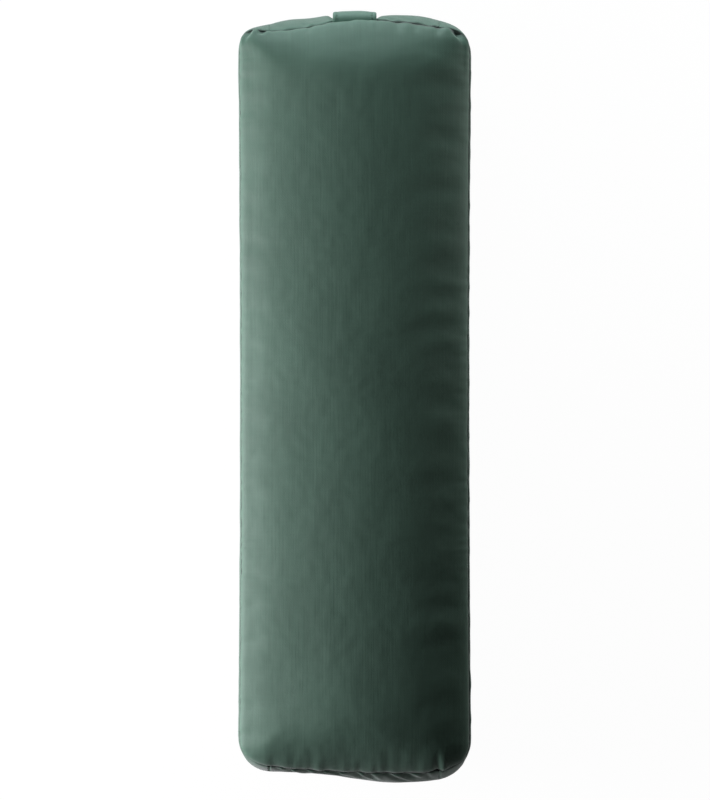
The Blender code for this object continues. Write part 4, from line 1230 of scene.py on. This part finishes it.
def softened_copy(cad, name, look, bevel):
    """A CAD piece with its faces cleaned and its edges rounded, as a casting comes out."""
    mesh = frame["nodes"][cad].data.copy()
    bm = bmesh.new()
    bm.from_mesh(mesh)
    bmesh.ops.remove_doubles(bm, verts=bm.verts, dist=1e-6)
    bmesh.ops.dissolve_limit(bm, angle_limit=math.radians(3), verts=bm.verts, edges=bm.edges)
    bm.to_mesh(mesh)
    bm.free()
    mesh.materials.clear()
    mesh.materials.append(look)
    shape = {"width": bevel, "segments": 2, "harden_normals": False}
    limit = {"limit_method": "ANGLE", "angle_limit": math.radians(35)}
    obj = applied(linked(name, mesh), "BEVEL", **shape, **limit)
    obj.data.polygons.foreach_set("use_smooth", [True] * len(obj.data.polygons))
    obj.data.set_sharp_from_angle(angle=math.radians(40))
    return obj


class BOLSTER_OT_zip(bpy.types.Operator):
    """Make the zip: tapes, toothed rows, stops, slider, pull tab and its rows of stitches."""

    bl_idname = "bolster.zip"
    bl_label = "Zip"

    def execute(self, context):
        sizes, _ = settings()
        for tag, side in (("upper", 1), ("lower", -1)):
            tape = ribbon("zip_ribbon_" + tag, side, material("polyester_zip_tape"))
            stand_in(tape, "zip_tape_" + tag)
            teeth = frame["nodes"]["zip_teeth_" + tag]
            teeth.data.materials.clear()
            teeth.data.materials.append(material("moulded_acetal_teeth"))
        for cad, name, body, bevel in CASTS:
            cast = softened_copy(cad, name, material("satin_nickel"), bevel)
            stand_in(cast, cad, body)
        for tag, side in (("upper", 1), ("lower", -1)):
            seats = self.seats(tag, side, sizes.stitch)
            sewn = stitches("zip_stitches_" + tag, seats, sizes.stitch, ZIP_THREAD)
            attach(sewn, "cover")
        return {"FINISHED"}

    def seats(self, tag, side, stitch):
        """Where the stitches beside the zip sit, on the side band's cloth."""
        cloth = bpy.data.objects["side_cover_zip_" + tag].data
        tree = BVHTree.FromPolygons(
            [v.co.copy() for v in cloth.vertices], [p.vertices[:] for p in cloth.polygons]
        )
        seats, reach = [], ZIP_REACH - 0.001
        for k in range(int(2 * reach / stitch)):
            y = -reach + (k + 0.5) * stitch
            z = MIDDLE + side * (0.0064 + ZIP_HALF_OPENING * float(zip_run(y)))
            hit, normal, _, _ = tree.ray_cast(Vector((0.2, y + SHIFT_Y, z)), Vector((-1, 0, 0)))
            if hit is None or hit.x < 0.08:
                raise RuntimeError("no cloth lies under a zip stitch")
            seats.append((hit, (0, 1, 0), normal if normal.x > 0 else -normal))
        return seats


# ---------------------------------------------------------------- filling


def bag_half(name, upper):
    """Half of the inner bag: the cover's form, drawn in and smoothed."""
    sizes, _ = settings()
    gx, gy = panel_grid()
    rows, columns = gx.shape
    share = edge_share(gx, gy)
    inner_x = gx * ((HALF_WIDTH - BAG_INSET) / HALF_WIDTH)
    inner_y = gy * ((HALF_LENGTH - BAG_INSET) / HALF_LENGTH)
    x, y = bowed(inner_x, inner_y, 0.0)
    inner = edge_share(inner_x, inner_y)
    ripple = cloudy_panel(gx, gy, 2, 0.03, 5)
    if upper:
        z = HIGH_SEAM + sizes.face_crown * crown(inner) - BAG_UNDER
        z = z + 0.0006 * ripple - 0.0012 * share**6
    else:
        z = LOW_SEAM - back_fall(inner, sizes) + BAG_OVER
        z = z + 0.0010 * share**6 + 0.0004 * (ripple + 1)
    verts = list(zip(x.ravel(), y.ravel(), z.ravel()))
    cuts = list(zip(gx.ravel(), gy.ravel()))
    faces = []
    for a in range((rows - 1) * columns):
        if (a + 1) % columns:
            faces.append((a, a + 1, a + columns + 1, a + columns))
    ring, bx, _, arc, sx, sy, nx, ny = rim(inner_x, inner_y, 0 * gx)
    top = z.ravel()[ring]
    last = MIDDLE - BAG_LAP if upper else MIDDLE + BAG_LAP
    tuck = 0.0 if upper else 0.0012
    off_zip = 1 - (bx > 0.05) * (1 - ny * ny)
    count, row = len(ring), ring
    for step in range(1, 9):
        t = step / 8
        above, row = row, len(verts) + np.arange(count)
        out = BAG_BULGE * off_zip * (1 - (1 - t) ** 2.2) - tuck * t
        out = out + 0.0004 * np.sin(arc * 120 + t * 5) * math.sin(math.pi * t)
        verts += zip(sx + nx * out, sy + ny * out, top + (last - top) * t)
        cuts += [(0.4 + t * 0.05, along) for along in arc]
        faces += zip(above, row, np.roll(row, -1), np.roll(above, -1))
    if not upper:
        faces = [tuple(reversed(quad)) for quad in faces]
    return mesh_object(name, verts, faces, material("unbleached_calico"), cuts)


def both_ways(half, cells):
    """Places across and back again, closer at the edges, each with the side it is on."""
    for side in (1, -1):
        for k in range(cells + 1):
            yield -half * side * math.cos(math.pi * k / cells), side


def wadding_outside(y, sizes):
    """The sleeve's outer outline at a place along the block."""
    loop = []
    for x, side in both_ways(WADDING_HALF_WIDTH, WADDING_CELLS):
        share = edge_share(np.array(x), np.array(y))
        puff = abs(0.0006 * noise.noise(Vector((x, y, side)) * 45))
        edge = smooth_step(0.93, 1.0, abs(x) / WADDING_HALF_WIDTH)
        if side > 0:
            z = HIGH_SEAM + sizes.face_crown * crown(share) - WADDING_UNDER - puff - 0.010 * edge
        else:
            z = LOW_SEAM - back_fall(share, sizes) + WADDING_OVER + puff + 0.012 * edge
        loop.append((x, y + SHIFT_Y, float(z)))
    return loop


def wadding_inside(y):
    """The sleeve's inner outline, close round the block."""
    loop = []
    half = FOAM_HALF_WIDTH + FOAM_GAP
    for x, side in both_ways(half, WADDING_CELLS):
        away = max(0.0, abs(x) - (half - FOAM_ROUND))
        bend = FOAM_ROUND - math.sqrt(max(0.0, FOAM_ROUND**2 - min(away, FOAM_ROUND) ** 2))
        z = FOAM_HIGH + FOAM_GAP - bend if side > 0 else FOAM_LOW - FOAM_GAP + bend
        loop.append((x, y + SHIFT_Y, z))
    return loop


class BOLSTER_OT_filling(bpy.types.Operator):
    """Make the inner bag, the wadding sleeve and the foam block."""

    bl_idname = "bolster.filling"
    bl_label = "Filling"

    def execute(self, context):
        for tag, upper in (("upper", True), ("lower", False)):
            stand_in(bag_half("calico_bag_" + tag, upper), "inner_liner_" + tag)
        stand_in(self.wadding(), "wadding_wrap")
        stand_in(self.foam(), "foam_core")
        return {"FINISHED"}

    def wadding(self):
        """A soft sleeve round the block, open at both ends."""
        sizes, _ = settings()
        rows = [WADDING_HALF_LENGTH * k / 30 for k in range(-30, 31)]
        verts = [p for y in rows for p in wadding_outside(y, sizes)]
        shift, size = len(verts), len(verts) // len(rows)
        verts += [p for y in rows for p in wadding_inside(y)]
        faces = []
        for a in range(0, shift - size, size):
            faces += ring_quads(a, a + size, size)
            faces += ring_quads(shift + a + size, shift + a, size)
        for a in (0, shift - size):
            faces += ring_quads(shift + a, a, size)
        look = material("polyester_wadding")
        return outward(mesh_object("wadding_sleeve", verts, faces, look))

    def foam(self):
        """The block, its long edges rounded and its ends a little softened."""
        sections = []
        ends = [(-1.0, FOAM_SOFT), (-0.997, FOAM_SOFT * 0.4), (-0.99, 0.0)]
        rows = ends + [(k / 20, 0.0) for k in range(-19, 20)] + [(-t, s) for t, s in reversed(ends)]
        for t, shrink in rows:
            section = []
            right, top = FOAM_HALF_WIDTH - shrink - FOAM_ROUND, FOAM_HIGH - shrink - FOAM_ROUND
            low = FOAM_LOW + shrink + FOAM_ROUND
            for k, (x, z) in enumerate(((right, top), (-right, top), (-right, low), (right, low))):
                for turn in [math.radians(90 * k + 15 * step) for step in range(7)]:
                    y = FOAM_HALF_LENGTH * t + SHIFT_Y
                    out, up = FOAM_ROUND * math.cos(turn), FOAM_ROUND * math.sin(turn)
                    section.append((x + out, y, z + up))
            sections.append(section)
        return outward(mesh_object("foam_block", *strip(sections), material("polyurethane_foam")))


# ---------------------------------------------------------------- stage


def softbox(name, bearing, elevation, power, away, colour):
    """A softbox aimed at the bolster; bearing 0 is +X and 90 is +Y."""
    data = bpy.data.lights.new(name, "AREA")
    data.shape = "RECTANGLE"
    data.size, data.size_y = (s * away / SOFTBOX_AWAY for s in (SOFTBOX_WIDE, SOFTBOX_LONG))
    data.energy = power
    data.color = colour
    lamp = linked(name, data)
    a, e = math.radians(bearing), math.radians(elevation)
    back = Vector((math.cos(a) * math.cos(e), math.sin(a) * math.cos(e), math.sin(e)))
    lamp.location = back * away + Vector((0, 0, AIM_HEIGHT))
    lamp.rotation_mode = "QUATERNION"
    lamp.rotation_quaternion = (-back).to_track_quat("-Z", "Y")


class BOLSTER_OT_stage(bpy.types.Operator):
    """Make the studio floor, the lamps, the world and the camera."""

    bl_idname = "bolster.stage"
    bl_label = "Studio"

    def execute(self, context):
        _, colours = settings()
        scene = context.scene
        # A white floor that the camera sees lit from within, so that the background is white
        made, tree = blank("white_studio_floor")
        lit = node(tree, "BsdfDiffuse", Color=(*colours.floor, 1))
        glow = node(tree, "Emission", Color=(1, 1, 1, 1), Strength=FLOOR_GLOW)
        path = node(tree, "LightPath").outputs
        seen = maths(tree, "MAXIMUM", path["Is Camera Ray"], path["Is Glossy Ray"])
        seen = maths(tree, "MAXIMUM", seen, path["Is Transmission Ray"])
        share = maths(tree, "MULTIPLY", seen, GLOW_SHARE)
        mix = node(tree, "MixShader", {0: share, 1: lit, 2: glow})
        node(tree, "OutputMaterial", {"Surface": mix})
        size, z = FLOOR_HALF, FLOOR_Z
        verts = [(-size, -size, z), (size, -size, z), (size, size, z), (-size, size, z)]
        mesh_object("studio_floor", verts, [(0, 1, 2, 3)], made)

        for lamp in LAMPS:
            softbox(*lamp)
        scene.world = bpy.data.worlds.new("studio_world")
        scene.world.use_nodes = True
        sky = scene.world.node_tree.nodes["Background"].inputs
        sky["Color"].default_value = (1, 1, 1, 1)
        sky["Strength"].default_value = SKY_LIGHT
        scene.view_settings.view_transform = "Standard"

        data = bpy.data.cameras.new("photo_camera")
        data.sensor_width, data.lens = CAMERA_SENSOR, CAMERA_LENS
        data.dof.use_dof = False
        data.clip_start, data.clip_end = 0.05, 50
        scene.camera = linked("photo_camera", data)
        scene.camera.location = CAMERA_PLACE
        return {"FINISHED"}


STEPS = [BOLSTER_OT_stage, BOLSTER_OT_cover, BOLSTER_OT_strap, BOLSTER_OT_zip, BOLSTER_OT_filling]


class BOLSTER_PT_panel(bpy.types.Panel):
    """The bolster's steps, sizes and colours."""

    bl_idname = "BOLSTER_PT_panel"
    bl_label = "Bolster"
    bl_space_type = "VIEW_3D"
    bl_region_type = "UI"
    bl_category = "Bolster"

    def draw(self, context):
        for step in STEPS:
            self.layout.operator(step.bl_idname)
        for group in (context.scene.bolster_sizes, context.scene.bolster_colours):
            for name in group.__annotations__:
                self.layout.prop(group, name)


CLASSES = [BolsterSizes, BolsterColours] + STEPS + [BOLSTER_PT_panel]


def register():
    for each in CLASSES:
        bpy.utils.register_class(each)
    bpy.types.Scene.bolster_sizes = bpy.props.PointerProperty(type=BolsterSizes)
    bpy.types.Scene.bolster_colours = bpy.props.PointerProperty(type=BolsterColours)


def unregister():
    del bpy.types.Scene.bolster_colours
    del bpy.types.Scene.bolster_sizes
    for each in reversed(CLASSES):
        bpy.utils.unregister_class(each)


def main():
    register()
    bpy.ops.bolster.stage()
    bpy.ops.bolster.cover()
    bpy.ops.bolster.strap()
    bpy.ops.bolster.zip()
    bpy.ops.bolster.filling()


if __name__ == "__main__":
    main()
